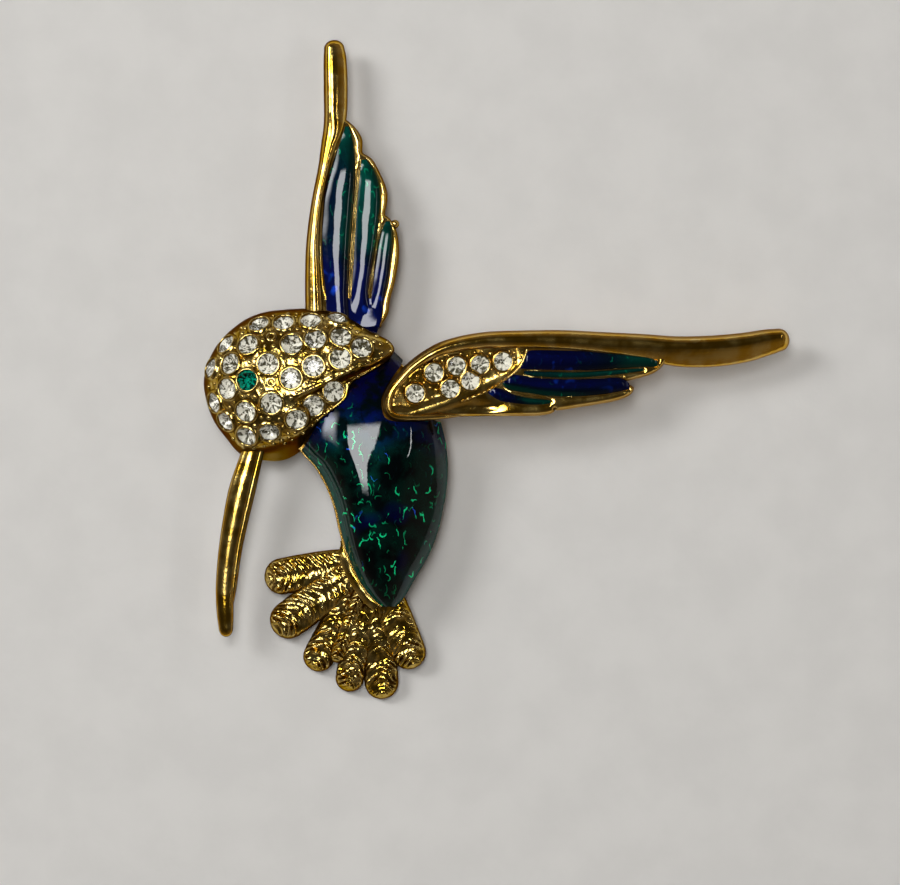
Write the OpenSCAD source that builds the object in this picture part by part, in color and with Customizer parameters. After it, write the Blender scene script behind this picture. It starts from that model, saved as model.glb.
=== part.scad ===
// A hummingbird brooch: one gilt casting of head, beak, body, tail and two raised wings,
// with cut crystals set in the head and the near wing, coloured enamel in the body and
// both wings, and a bar pin across the hollow back. It lies on its back: +Z faces the
// viewer, +Y runs up the picture, and the surface it lies on is z = 0.

/* [Back] */
// Height of the casting's back edge above the surface it lies on
back_z = 3.8; // [3.4:0.1:4.4]
// Thickness of the cast metal under the head and the body
cast_wall = 2.2; // [2:0.1:2.8]
// Space left between any two pieces
gap = 0.06; // [0.04:0.01:0.1]

/* [Head] */
// Radius that the head's outline is drawn from
head_r = 7.2; // [6.6:0.1:7.8]
// Height of the head's dome above its upright edge
head_h = 5.6; // [5:0.1:6.2]
// Height of the upright edge round the head and the body
edge_h = 0.9; // [0.6:0.1:1.3]
// Depth of the crease between the cheek and the throat
crease_h = 0.7; // [0.3:0.1:1]

/* [Beak] */
// Length of the beak
beak_len = 19; // [15:0.5:23]
// Greatest width of the beak
beak_w = 2.7; // [2.2:0.1:3.2]
// Thickness of the beak as a share of its width
beak_flat = 0.72; // [0.6:0.02:0.9]
// How far the beak drops from its root to its tip
beak_drop = 2.3; // [1:0.1:2.6]

/* [Body] */
// Length of the body from the neck to its tip
body_len = 25.9; // [23:0.1:29]
// Greatest width of the body
body_w = 14.9; // [13:0.1:17]
// Height of the enamelled dome above its edge
body_h = 5; // [4.4:0.1:5.6]
// Width of the metal rim outside the enamel
rim_w = 0.12; // [0.08:0.02:0.4]
// Thickness of the enamel on the body
enamel_t = 0.55; // [0.4:0.05:0.8]

/* [Tail] */
// Reach of the longest tail feather from the fan's centre
tail_len = 14.25; // [12:0.25:16]
// Width of a tail feather
feather_w = 3.7; // [3.2:0.1:4.2]
// Thickness of a tail feather at its crest
feather_t = 1.7; // [1.4:0.1:2.2]
// Height of the chased barbs on the tail
barb_h = 0.14; // [0.06:0.02:0.2]
// How far a tail feather's underside curves up to its edges
feather_belly = 0.2; // [0.1:0.02:0.3]

/* [Wings] */
// Length of the near wing
near_len = 41; // [36:0.5:46]
// Chord of the near wing at its root
near_chord = 8.95; // [8.2:0.05:9.8]
// Length of the far wing
far_len = 29.35; // [26:0.05:33]
// Chord of the far wing
far_chord = 9.55; // [8.8:0.05:10.4]
// Thickness of the wing plates
wing_t = 1.6; // [1.4:0.1:2]
// Greatest width of the round leading edge
spar_w = 3; // [2.4:0.1:3.6]
// Height of the leading edge above the wing's underside
spar_h = 2.2; // [2:0.1:2.6]
// Depth of the enamel in the wings
cell_depth = 0.6; // [0.4:0.05:0.8]
// How far the wing enamel is crowned above the plate
cell_crown = 0.22; // [0.1:0.02:0.3]
// Height of the near wing's underside at its root, as a share of the body's height
near_seat = 0.64; // [0.56:0.02:0.7]
// Slope of the near wing down towards its tip
near_tilt = 7.5; // [6:0.5:8.5]
// Height of the far wing's underside above the casting's back edge, at its root
far_lift = 0.5; // [0.3:0.1:1]
// Slope of the far wing down towards its tip
far_tilt = 3.5; // [1:0.5:4.5]
// Roll of both wings about their length
wing_roll = 5; // [0:1:8]

/* [Stones] */
// Diameter of the crystals in the head
stone_d = 2.1; // [1.9:0.05:2.2]
// Diameter of the crystals in the near wing
wing_stone_d = 1.85; // [1.7:0.05:1.9]
// Depth from table to culet as a share of the diameter
stone_deep = 0.6; // [0.5:0.02:0.64]
// How far a stone's table stands above the metal round it
stone_proud = 0.2; // [0.1:0.02:0.3]

/* [Pin] */
// Width of the pin's bar
pin_w = 2.4; // [2:0.1:3]
// Thickness of the pin's bar
pin_t = 0.7; // [0.5:0.1:1]
// Diameter of the pin's stem
stem_d = 0.9; // [0.7:0.05:1.1]

/* [Hidden] */
// Places, in the frame of the whole brooch
NECK = [-10.95, 2.0];
EDGE_Z = back_z + edge_h;
HEAD_AT = NECK + head_r * [-1.46, -0.43];
BEAK_AT = [HEAD_AT[0] - 0.39 * head_r, HEAD_AT[1] - 0.92 * head_r, EDGE_Z + 1];
TAIL_AT = [NECK[0] - 0.107 * body_w, NECK[1] - 0.81 * body_len, EDGE_Z - feather_t - 0.2];
NEAR_AT = [NECK[0] - 0.033 * body_w, NECK[1] - 0.145 * body_len, EDGE_Z + near_seat * body_h];
NEAR_ROOT_V = 0.635;
NEAR_FOOT_DROP = near_seat * body_h - 0.1;
FAR_AT = [HEAD_AT[0] + 0.62 * head_r, HEAD_AT[1] + 0.7 * head_r, back_z + far_lift];
FAR_ROOT_V = 0.238;
PIN_Y = NECK[1] - 0.135 * body_len;

GILT = "#c19a3f";
GREEN = "#0b5b45";
BLUE = "#101a6e";
CLEAR = "#e8e6e0";
EYE_GREEN = "#0c7a5c";

// How finely the shapes are drawn
HEAD_AROUND = 48;
CELL_STEPS = 12;
CELL_ACROSS = 2;
BODY_STEPS = 18;
BODY_ACROSS = 12;
// A stone's facets round, its table, crown and girdle, the flat at the bottom of its seat, and the
// bead beside it, as shares of its diameter
FACETS = 8;
TABLE = 0.58;
CROWN = 0.16;
GIRDLE = 0.03;
SEAT_FLOOR = 0.2;
BEAD = 0.13;

// Head outline, one row each 15 degrees from +X: [reach, lift of the edge, flare of the back], the
// reach and flare of head_r, the lift of head_h
HEAD_OUTLINE = [
    [1.00, 0.68, 0.00], [1.60, 0.58, 0.00], [1.38, 0.46, 0.00], [1.24, 0.30, 0.00],
    [1.13, 0.14, 0.00], [1.04, 0.04, 0.00], [0.99, 0.00, 0.00], [0.99, 0.00, 0.00],
    [1.00, 0.00, 0.00], [1.01, 0.00, 0.00], [1.04, 0.00, 0.00], [1.07, 0.00, 0.00],
    [1.10, 0.00, 0.00], [1.10, 0.00, 0.00], [1.11, 0.00, 0.00], [1.12, 0.00, 0.00],
    [1.16, 0.02, 0.02], [1.02, 0.10, 0.12], [0.90, 0.28, 0.20], [0.83, 0.48, 0.16],
    [0.78, 0.62, 0.05], [0.76, 0.70, 0.00], [0.81, 0.73, 0.00], [0.92, 0.72, 0.00]];
// The crease from the cheek to the nape, as shares of head_r from the head's centre
CREASE_FROM = [0.15, -0.30];
CREASE_TO = [1.04, 0.10];

// Head stones: [angle from +X, share of the outline's reach]
HEAD_STONES = [
    [88, 0.80], [64, 0.83], [36, 0.77], [50, 0.61], [73, 0.49], [133, 0.66], [112, 0.84],
    [162, 0.69], [128, 0.28], [23, 0.32], [20, 0.55], [22, 0.77], [10, 0.10], [189, 0.68],
    [198, 0.89], [248, 0.31], [222, 0.58], [216, 0.86], [238, 0.78], [257, 0.73],
    [292, 0.72], [322, 0.73], [348, 0.79], [147, 0.89], [170, 0.92], [48, 0.95]];
EYE_STONE = [180, 0.42];
HEAD_SET = concat(HEAD_STONES, [EYE_STONE]);

// Beak: [along, bend, width], shares of beak_len, beak_len and beak_w
BEAK = [
    [0.00, 0.000, 0.80], [0.08, -0.024, 0.88], [0.23, -0.066, 1.00], [0.40, -0.103, 0.94],
    [0.55, -0.130, 0.87], [0.72, -0.149, 0.80], [0.86, -0.154, 0.75], [0.95, -0.152, 0.64],
    [1.00, -0.150, 0.26]];

// Body: [along, reach to the left, reach to the right, height], of body_len, body_w and body_h
BODY = [
    [0.00, 0.24, 0.03, 0.36], [0.05, 0.36, 0.12, 0.50], [0.12, 0.47, 0.23, 0.64],
    [0.19, 0.55, 0.30, 0.76], [0.27, 0.60, 0.35, 0.87], [0.35, 0.615, 0.385, 0.95],
    [0.40, 0.560, 0.397, 0.99], [0.45, 0.480, 0.402, 1.00], [0.52, 0.410, 0.396, 0.98],
    [0.60, 0.355, 0.375, 0.94], [0.70, 0.315, 0.335, 0.86], [0.79, 0.270, 0.275, 0.74],
    [0.88, 0.200, 0.185, 0.57], [0.95, 0.115, 0.115, 0.38], [0.99, 0.040, 0.055, 0.22]];

// Tail feathers: [angle from +X, reach, width, lift], of tail_len, feather_w and feather_t
FEATHERS = [
    [191, 0.78, 0.96, 0.00], [216, 0.87, 1.00, 0.12], [241, 0.90, 0.84, 0.00],
    [250, 0.78, 0.42, 0.24], [259, 0.96, 0.76, 0.10], [274, 1.00, 0.90, 0.00],
    [291, 0.83, 0.92, 0.14]];
// One feather: [along, half width], shares of its reach and width
FEATHER_SHAPE = [
    [0.10, 0.20], [0.30, 0.26], [0.50, 0.36], [0.70, 0.46], [0.84, 0.50], [0.94, 0.42],
    [1.00, 0.16]];

// Near wing plate outline: [along, chordwise], shares of near_len and near_chord
NEAR_PLATE = [
    [0.010, 0.84], [0.015, 0.68], [0.037, 0.54], [0.066, 0.42], [0.115, 0.27], [0.177, 0.16],
    [0.238, 0.10], [0.337, 0.09], [0.435, 0.10], [0.533, 0.11], [0.631, 0.13], [0.685, 0.17],
    [0.700, 0.26], [0.676, 0.41], [0.656, 0.47], [0.631, 0.51], [0.597, 0.55], [0.585, 0.57],
    [0.605, 0.60], [0.612, 0.64], [0.602, 0.71], [0.570, 0.77], [0.526, 0.81], [0.472, 0.85],
    [0.425, 0.88], [0.417, 0.86], [0.417, 0.89], [0.405, 0.92], [0.373, 0.94], [0.287, 0.945],
    [0.201, 0.95], [0.128, 0.96], [0.054, 0.97], [0.020, 0.95], [0.008, 0.89]];
// Near wing leading edge, from under the root round to the tip: [along, chordwise, width, height]
NEAR_SPAR = [
    [0.150, 0.945, 0.24, 0.90], [0.090, 0.955, 0.26, 0.95], [0.030, 0.945, 0.28, 1.00],
    [0.010, 0.860, 0.30, 1.00], [0.014, 0.700, 0.30, 1.00], [0.040, 0.530, 0.30, 1.00],
    [0.080, 0.350, 0.34, 1.00], [0.145, 0.190, 0.44, 1.00], [0.235, 0.110, 0.54, 1.00],
    [0.335, 0.095, 0.60, 1.00], [0.435, 0.100, 0.66, 1.00], [0.535, 0.130, 0.72, 1.00],
    [0.635, 0.170, 0.84, 1.00], [0.715, 0.220, 1.00, 1.00], [0.800, 0.220, 1.05, 1.00],
    [0.880, 0.180, 1.00, 0.98], [0.940, 0.120, 0.86, 0.94], [0.980, 0.080, 0.62, 0.88],
    [0.998, 0.075, 0.26, 0.76]];
// Ridge between the near wing's stones and its feathers: [along, chordwise]
NEAR_RIDGE = [[0.346, 0.20], [0.330, 0.38], [0.292, 0.54], [0.250, 0.66], [0.185, 0.78]];
// Near wing enamel cells: [along, upper edge, lower edge]
NEAR_CELLS = [
    [[0.331, 0.360, 0.405], [0.342, 0.260, 0.410], [0.354, 0.220, 0.415], [0.398, 0.215, 0.420],
     [0.474, 0.222, 0.424], [0.533, 0.230, 0.415], [0.580, 0.240, 0.398], [0.631, 0.258, 0.384],
     [0.656, 0.280, 0.382], [0.668, 0.325, 0.375]],
    [[0.340, 0.444, 0.460], [0.360, 0.447, 0.487], [0.400, 0.452, 0.502], [0.450, 0.456, 0.508],
     [0.500, 0.450, 0.500], [0.550, 0.436, 0.480], [0.600, 0.420, 0.452], [0.634, 0.412, 0.428]],
    [[0.287, 0.540, 0.578], [0.300, 0.500, 0.630], [0.317, 0.485, 0.655], [0.361, 0.517, 0.685],
     [0.415, 0.535, 0.718], [0.474, 0.536, 0.714], [0.533, 0.525, 0.690], [0.563, 0.515, 0.668],
     [0.582, 0.530, 0.650], [0.599, 0.580, 0.630]],
    [[0.253, 0.652, 0.680], [0.268, 0.630, 0.730], [0.287, 0.650, 0.770], [0.312, 0.700, 0.788],
     [0.344, 0.738, 0.805], [0.373, 0.755, 0.808], [0.398, 0.765, 0.800], [0.406, 0.772, 0.785]]];
// Near wing stones: [along, chordwise]
NEAR_STONES = [
    [0.075, 0.69], [0.120, 0.46], [0.175, 0.385], [0.232, 0.37], [0.288, 0.335],
    [0.160, 0.64], [0.209, 0.55]];
// Where the near wing stands on the body, and the foot under it: [along, chordwise]
NEAR_ROOT = [
    [0.170, 0.13], [0.078, 0.28], [0.040, 0.44], [0.012, 0.60], [-0.004, 0.74], [-0.004, 0.88],
    [0.004, 0.965], [0.022, 1.00], [0.060, 1.01], [0.170, 1.005]];
NEAR_FOOT = [
    [0.062, 0.42], [0.035, 0.56], [0.010, 0.82], [0.012, 0.97], [0.115, 0.97], [0.105, 0.75],
    [0.095, 0.60], [0.075, 0.46]];

// Far wing plate outline: [along, chordwise], shares of far_len and far_chord
FAR_PLATE = [
    [0.01, 0.09], [0.19, 0.09], [0.30, 0.10], [0.43, 0.13], [0.55, 0.20], [0.62, 0.25],
    [0.70, 0.30], [0.725, 0.37], [0.718, 0.44], [0.688, 0.54], [0.651, 0.60], [0.612, 0.60],
    [0.603, 0.62], [0.582, 0.71], [0.527, 0.80], [0.473, 0.86], [0.428, 0.855], [0.397, 0.835],
    [0.384, 0.875], [0.356, 0.94], [0.308, 0.975], [0.250, 0.98], [0.171, 0.94], [0.103, 0.885],
    [0.027, 0.855], [0.01, 0.82]];
// Far wing leading edge, from the root to the tip: [along, chordwise, width, height]
FAR_SPAR = [
    [0.01, 0.095, 0.62, 1.00], [0.08, 0.095, 0.62, 1.00], [0.19, 0.085, 0.56, 1.00],
    [0.30, 0.085, 0.47, 1.00], [0.43, 0.125, 0.40, 1.00], [0.55, 0.200, 0.42, 1.00],
    [0.63, 0.255, 0.56, 1.00], [0.71, 0.315, 0.74, 1.00], [0.82, 0.325, 0.80, 1.00],
    [0.92, 0.320, 0.76, 0.96], [0.97, 0.310, 0.60, 0.90], [0.995, 0.305, 0.28, 0.78]];
// Far wing enamel cells: [along, left edge, right edge]; the last one joins the others at the root
FAR_CELLS = [
    [[-0.01, 0.230, 0.460], [0.110, 0.218, 0.438], [0.170, 0.200, 0.447], [0.284, 0.178, 0.466],
     [0.418, 0.195, 0.498], [0.486, 0.221, 0.516], [0.555, 0.280, 0.520], [0.623, 0.353, 0.505],
     [0.668, 0.400, 0.474], [0.695, 0.424, 0.450]],
    [[-0.01, 0.470, 0.670], [0.103, 0.480, 0.648], [0.171, 0.493, 0.668], [0.284, 0.516, 0.726],
     [0.377, 0.535, 0.768], [0.445, 0.551, 0.782], [0.500, 0.566, 0.768], [0.541, 0.581, 0.721],
     [0.582, 0.598, 0.632]],
    [[0.007, 0.695, 0.763], [0.092, 0.690, 0.805], [0.154, 0.705, 0.853], [0.233, 0.737, 0.889],
     [0.291, 0.766, 0.908], [0.336, 0.800, 0.905], [0.370, 0.847, 0.877]],
    [[-0.01, 0.230, 0.737], [0.034, 0.222, 0.779], [0.086, 0.219, 0.800], [0.106, 0.217, 0.800]]];

// Curves through table rows
function row_at(rows, i) = rows[max(0, min(i, len(rows) - 1))];
function blend(a, b, c, d, f) =
    b + 0.5 * f * (c - a + f * (2 * a - 5 * b + 4 * c - d + f * (3 * b - a - 3 * c + d)));
function open_curve(rows, t) = let (i = min(floor(t), len(rows) - 2))
    blend(row_at(rows, i - 1), rows[i], rows[i + 1], row_at(rows, i + 2), t - i);
function closed_curve(rows, t) = let (n = len(rows), i = floor(t))
    blend(rows[(i - 1 + n) % n], rows[i % n], rows[(i + 1) % n], rows[(i + 2) % n], t - i);
function smoothed(rows, steps) =
    [for (k = [0:steps]) open_curve(rows, k * (len(rows) - 1) / steps)];
function ramp(x) = let (c = max(0, min(1, x))) c * c * (3 - 2 * c);
function flat2(v) = [v[0], v[1]];

// A solid between an upper and a lower sheet, each a grid of points
module slab(top, bottom) {
    n = len(top);
    m = len(top[0]);
    points = [for (r = top) each r, for (r = bottom) each r];
    function t(i, j) = i * m + j;
    function b(i, j) = n * m + i * m + j;
    faces = [
        for (i = [0:n - 2], j = [0:m - 2]) each [
            [t(i, j), t(i + 1, j), t(i + 1, j + 1)], [t(i, j), t(i + 1, j + 1), t(i, j + 1)],
            [b(i, j), b(i + 1, j + 1), b(i + 1, j)], [b(i, j), b(i, j + 1), b(i + 1, j + 1)]],
        for (i = [0:n - 2]) each [
            [t(i + 1, 0), t(i, 0), b(i, 0)], [t(i + 1, 0), b(i, 0), b(i + 1, 0)],
            [t(i, m - 1), t(i + 1, m - 1), b(i + 1, m - 1)], [t(i, m - 1), b(i + 1, m - 1), b(i, m - 1)]],
        for (j = [0:m - 2]) each [
            [t(0, j), t(0, j + 1), b(0, j + 1)], [t(0, j), b(0, j + 1), b(0, j)],
            [t(n - 1, j + 1), t(n - 1, j), b(n - 1, j)], [t(n - 1, j + 1), b(n - 1, j), b(n - 1, j + 1)]]];
    polyhedron(points, faces);
}

// A closed skin through rings of points, with a fan of faces at each end
module skin(rings) {
    n = len(rings);
    m = len(rings[0]);
    function middle(ring) = [for (k = [0:2]) [for (p = ring) p[k]] * [for (p = ring) 1] / m];
    points = [for (r = rings) each r, middle(rings[0]), middle(rings[n - 1])];
    function p(i, j) = i * m + j % m;
    faces = [
        for (i = [0:n - 2], j = [0:m - 1]) each [
            [p(i, j), p(i, j + 1), p(i + 1, j + 1)], [p(i, j), p(i + 1, j + 1), p(i + 1, j)]],
        for (j = [0:m - 1]) each [
            [n * m, p(0, j + 1), p(0, j)], [n * m + 1, p(n - 1, j), p(n - 1, j + 1)]]];
    polyhedron(points, faces);
}

// Rings along a path whose rows are [x, y, z, half width, rise above, depth below]
function rod_rings(rows, sides) = [
    for (i = [0:len(rows) - 1])
        let (r = rows[i],
             d = flat2(row_at(rows, i + 1)) - flat2(row_at(rows, i - 1)),
             side = [d[1], -d[0]] / norm(d))
        [for (k = [0:sides - 1])
            let (a = 360 * k / sides, s = sin(a))
            [r[0] + side[0] * r[3] * cos(a), r[1] + side[1] * r[3] * cos(a),
             r[2] + s * (s > 0 ? r[4] : r[5])]]];

// The head's surface
function head_row(a) = closed_curve(HEAD_OUTLINE, (a + 360) % 360 / 15);
function head_xy(a, s) = HEAD_AT + head_r * head_row(a)[0] * s * [cos(a), sin(a)];
function head_foot(a) = head_xy(a, 1) + head_r * head_row(a)[2] * [cos(a), sin(a)];
function head_dome(a, s) = let (lift = head_row(a)[1])
    EDGE_Z + head_h * (lift + (1 - lift) * sqrt(max(0, 1 - pow(s, 2.3))));
function crease_at(p) =
    let (from = HEAD_AT + head_r * CREASE_FROM, to = HEAD_AT + head_r * CREASE_TO,
         run = to - from, along = (p - from) * run / (run * run),
         off = (p[0] - from[0]) * run[1] - (p[1] - from[1]) * run[0])
    crease_h * ramp(off / norm(run) / 0.5 + 0.5) * ramp(along / 0.25);
function head_point(a, s) = let (p = head_xy(a, s))
    [p[0], p[1], head_dome(a, s) - crease_at(p) * ramp((1 - s) / 0.12 + 0.3)];
function head_normal(a, s) =
    let (p = [for (d = [[0, -0.04], [0, 0.04], [-4, 0], [4, 0]])
                 let (q = head_xy(a + d[0], s + d[1])) [q[0], q[1], head_dome(a + d[0], s + d[1])]],
         n = cross(p[1] - p[0], p[3] - p[2]))
    n / norm(n);

// The head, hollow behind
module head() {
    turns = [for (k = [0:HEAD_AROUND - 1]) 360 * k / HEAD_AROUND];
    shares = [0.2, 0.4, 0.58, 0.73, 0.85, 0.93, 0.98, 1];
    hollow_r = head_r - cast_wall;
    hollow_h = head_h + edge_h - cast_wall;
    function ring(s) = [for (a = turns) head_point(a, s)];
    function hollow_ring(s) = [for (a = turns)
        let (p = HEAD_AT + hollow_r * min(head_row(a)[0], 1.1) * s * [cos(a), sin(a)])
        [p[0], p[1], back_z + hollow_h * sqrt(1 - s * s)]];
    skin(concat(
        [for (s = shares) ring(s)],
        [[for (a = turns) concat(head_foot(a), back_z)]],
        [for (s = [1, 0.9, 0.6]) hollow_ring(s)]));
}

// The head's outline as a column, grown by the gap, for cutting what lies beside it
module head_prism() {
    linear_extrude(3 * head_h) offset(delta = gap)
        polygon([for (k = [0:HEAD_AROUND - 1]) head_foot(360 * k / HEAD_AROUND)]);
}

// The beak, an upper and a lower mandible side by side
module beak() {
    function mandible(shift, width, rise) = [for (r = smoothed(BEAK, 16))
        let (half = r[2] * beak_w / 2, thick = half * beak_flat)
        [BEAK_AT[0] + r[1] * beak_len + shift * half, BEAK_AT[1] - r[0] * beak_len,
         BEAK_AT[2] - beak_drop * r[0] - (1 - rise) * thick, half * width, thick * rise, thick * rise]];
    skin(rod_rings(mandible(-0.26, 0.74, 1), 10));
    skin(rod_rings(mandible(0.46, 0.54, 0.8), 8));
}

// The body's surface, from right to left, grown sideways, dropped and lifted by the given amounts
function body_row(t) = open_curve(BODY, t * (len(BODY) - 1));
function body_point(t, u, grow, drop, lift) =
    let (r = body_row(t),
         left = NECK[0] - body_w * r[1] - grow,
         right = NECK[0] + body_w * r[2] + grow,
         rise = sqrt(max(0, 1 - pow(abs(u), 2.2))))
    [(left + right) / 2 + u * (right - left) / 2, NECK[1] - r[0] * body_len,
     EDGE_Z + lift + max(0, body_h * r[3] * rise - drop)];
function body_sheet(grow, drop, lift) = [for (i = [0:BODY_STEPS])
    [for (j = [0:BODY_ACROSS]) body_point(i / BODY_STEPS, cos(180 * j / BODY_ACROSS), grow, drop, lift)]];

// The metal under the body's enamel, with a rim round it and a hollow back
module body_bed() {
    function rim(i, u) = body_point(i / BODY_STEPS, u, rim_w, body_h, 0);
    function hollow(i, u) =
        let (right = rim(i, 1), left = rim(i, -1),
             half = max(0.2, (right[0] - left[0]) / 2 - cast_wall),
             deep = EDGE_Z - back_z + body_h * body_row(i / BODY_STEPS)[3] - enamel_t - cast_wall,
             ends = ramp(min(i, BODY_STEPS - i) / 3) * ramp(half - 0.2))
        [(right[0] + left[0]) / 2 + u * half, right[1], back_z + max(0, deep) * ends * sqrt(1 - u * u)];
    function low(p) = [p[0], p[1], back_z];
    bed = body_sheet(-enamel_t - gap, enamel_t, 0);
    slab(
        [for (i = [0:BODY_STEPS]) concat([rim(i, 1)], bed[i], [rim(i, -1)])],
        [for (i = [0:BODY_STEPS]) concat(
            [low(rim(i, 1))],
            [for (j = [0:BODY_ACROSS]) hollow(i, cos(180 * j / BODY_ACROSS))],
            [low(rim(i, -1))])]);
}

// The enamel shell over the body, cut clear of the head and of the near wing's root
module body_enamel() {
    color(GREEN) difference() {
        slab(body_sheet(0, 0, gap), body_sheet(-enamel_t, enamel_t, gap));
        head_prism();
        near_place() translate([0, 0, -2 * body_h]) linear_extrude(4 * body_h)
            offset(delta = gap) polygon([for (p = NEAR_ROOT) near_xy(p)]);
    }
}

// One tail feather along +X: a crowned blade with a midrib groove and slanting barbs
module feather(reach, width, lift) {
    across = 4;
    rows = smoothed(FEATHER_SHAPE, 13);
    function under(x) = TAIL_AT[2] * (1 - x / tail_len) + lift;
    function crest(i, f) = feather_t * (0.62 + 0.38 * (1 - f * f) - (f == 0 ? 0.12 : 0))
        + barb_h * ((i + (abs(f) > 0.7 ? 1 : 0)) % 2);
    function sheet(top) = [for (i = [0:len(rows) - 1]) let (r = rows[i], x = r[0] * reach)
        [for (j = [0:across]) let (f = 1 - 2 * j / across)
            [x - 0.35 * width * r[1] * f * f, f * r[1] * width,
             under(x) + (top ? crest(i, f) : feather_belly * f * f)]]];
    slab(sheet(true), sheet(false));
}

// The tail, with the collar that joins it to the body's left edge
module tail() {
    function collar(t) = let (p = body_point(t, -1, rim_w, body_h, 0), half = feather_t / 4)
        [p[0] - half / 2, p[1], EDGE_Z - 0.8 * half, half, half, 1.2 * half];
    skin(rod_rings([for (t = [0.76:0.04:1]) collar(t)], 6));
    for (f = FEATHERS)
        translate([TAIL_AT[0], TAIL_AT[1], 0]) rotate(f[0])
            feather(f[1] * tail_len, f[2] * feather_w, f[3] * feather_t);
}

// Wing frames: the near wing runs along +X, the far wing along +Y
function near_xy(p) = [p[0] * near_len, -p[1] * near_chord];
function far_xy(p) = [p[1] * far_chord, p[0] * far_len];
module near_place() {
    translate(NEAR_AT) rotate([wing_roll, near_tilt, 0])
        translate([0, NEAR_ROOT_V * near_chord, 0]) children();
}
module far_place() {
    translate(FAR_AT) rotate([-far_tilt, wing_roll, 0])
        translate([-FAR_ROOT_V * far_chord, 0, 0]) children();
}

// A wing's flat plate and its round leading edge, for points already in the wing's frame
module plate(points) {
    linear_extrude(wing_t) polygon([for (k = [0:0.5:len(points) - 0.5]) closed_curve(points, k)]);
}
module spar(rows, steps) {
    skin(rod_rings([for (r = smoothed(rows, steps)) let (tall = spar_h * r[3])
        [r[0], r[1], 0.4 * tall, spar_w / 2 * r[2], 0.6 * tall, 0.4 * tall]], 10));
}
function with_size(p, row) = [p[0], p[1], row[2], row[3]];

// A sheet over one enamel cell: [along, across] of both edges in millimetres, crowned in the middle
function cell_sheet(rows, across, grow, z, crown) = [
    for (i = [0:len(rows) - 1])
        let (r = rows[i], shift = i == 0 ? -grow : i == len(rows) - 1 ? grow : 0)
        [for (j = [0:across]) let (f = j / across)
            [r[0] + shift, r[1] - grow + f * (r[2] - r[1] + 2 * grow), z + crown * 4 * f * (1 - f)]]];
function near_cell(k) = [for (r = smoothed(NEAR_CELLS[k], CELL_STEPS))
    [r[0] * near_len, r[1] * near_chord, r[2] * near_chord]];
function far_cell(k) = [for (r = smoothed(FAR_CELLS[k], CELL_STEPS))
    [r[0] * far_len, r[1] * far_chord, r[2] * far_chord]];
function near_turn(sheet) = [for (row = sheet) [for (p = row) [p[0], -p[1], p[2]]]];
function far_turn(sheet) = [for (row = sheet) [for (p = row) [p[1], p[0], p[2]]]];

// The room cut for the enamel, and the enamel that lies in it
function cell_cut(rows, top) = cell_sheet(rows, 1, gap, top ? 2 * spar_h : wing_t - cell_depth, 0);
function cell_fill(rows, top) = top ? cell_sheet(rows, CELL_ACROSS, 0, wing_t, cell_crown)
    : cell_sheet(rows, CELL_ACROSS, 0, wing_t - cell_depth + gap, 0);

module near_wing_enamel(k) {
    color(BLUE) near_place()
        slab(near_turn(cell_fill(near_cell(k), true)), near_turn(cell_fill(near_cell(k), false)));
}

module far_wing_enamel() {
    color(BLUE) difference() {
        far_place() for (k = [0:len(FAR_CELLS) - 1])
            slab(far_turn(cell_fill(far_cell(k), true)), far_turn(cell_fill(far_cell(k), false)));
        head_prism();
    }
}

module near_wing() {
    near_place() difference() {
        union() {
            plate([for (p = NEAR_PLATE) near_xy(p)]);
            spar([for (r = NEAR_SPAR) with_size(near_xy(r), r)], 30);
            skin(rod_rings([for (p = smoothed(NEAR_RIDGE, 8))
                let (q = near_xy(p)) [q[0], q[1], wing_t, 0.2, 0.45, 0.4]], 6));
            translate([0, 0, -NEAR_FOOT_DROP]) linear_extrude(NEAR_FOOT_DROP + 0.4)
                polygon([for (p = NEAR_FOOT) near_xy(p)]);
        }
        for (k = [0:len(NEAR_CELLS) - 1])
            slab(near_turn(cell_cut(near_cell(k), true)), near_turn(cell_cut(near_cell(k), false)));
    }
}

module far_wing() {
    far_place() difference() {
        union() {
            plate([for (p = FAR_PLATE) far_xy(p)]);
            spar([for (r = FAR_SPAR) with_size(far_xy(r), r)], 18);
        }
        for (k = [0:len(FAR_CELLS) - 1])
            slab(far_turn(cell_cut(far_cell(k), true)), far_turn(cell_cut(far_cell(k), false)));
    }
}

// A cut stone with its girdle at its origin: a table, a crown and a pavilion, eight facets round
module stone(d) {
    n = FACETS;
    function ring(r, turn, z) = [for (k = [0:n - 1])
        let (a = 360 * (k + turn) / n) [r * cos(a), r * sin(a), z]];
    points = concat(
        ring(TABLE * d / 2, 0.5, CROWN * d),
        ring(d / 2, 0, 0),
        ring(d / 2, 0, -GIRDLE * d),
        [[0, 0, -GIRDLE * d - culet_depth(d)]]);
    faces = concat(
        [[for (k = [n - 1:-1:0]) k]],
        [for (k = [0:n - 1]) let (next = (k + 1) % n) each [
            [k, n + next, n + k], [k, next, n + next],
            [n + k, n + next, 2 * n + next, 2 * n + k], [2 * n + k, 2 * n + next, 3 * n]]]);
    polyhedron(points, faces);
}
function culet_depth(d) = (stone_deep - CROWN - GIRDLE) * d;
function girdle_lift(d) = stone_proud - CROWN * d;

// The room cut for a stone, and the bead of metal that holds it, on the same axis
module seat(d) {
    wide = d / 2 + gap / cos(180 / FACETS);
    ledge = -GIRDLE * d - gap;
    floor = ledge - culet_depth(d);
    rotate_extrude($fn = FACETS)
        polygon([[0, floor], [SEAT_FLOOR * wide, floor], [wide, ledge], [wide, d], [0, d]]);
}
module bead(d, turn) {
    r = BEAD * d;
    rotate(turn) translate([d / 2 + gap + 0.7 * r, 0, -girdle_lift(d)]) hull() {
        translate([0, 0, -2 * r]) cylinder(h = 2.6 * r, r = r, $fn = 6);
        cylinder(h = 1.5 * r, r = 0.5 * r, $fn = 6);
    }
}

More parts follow.
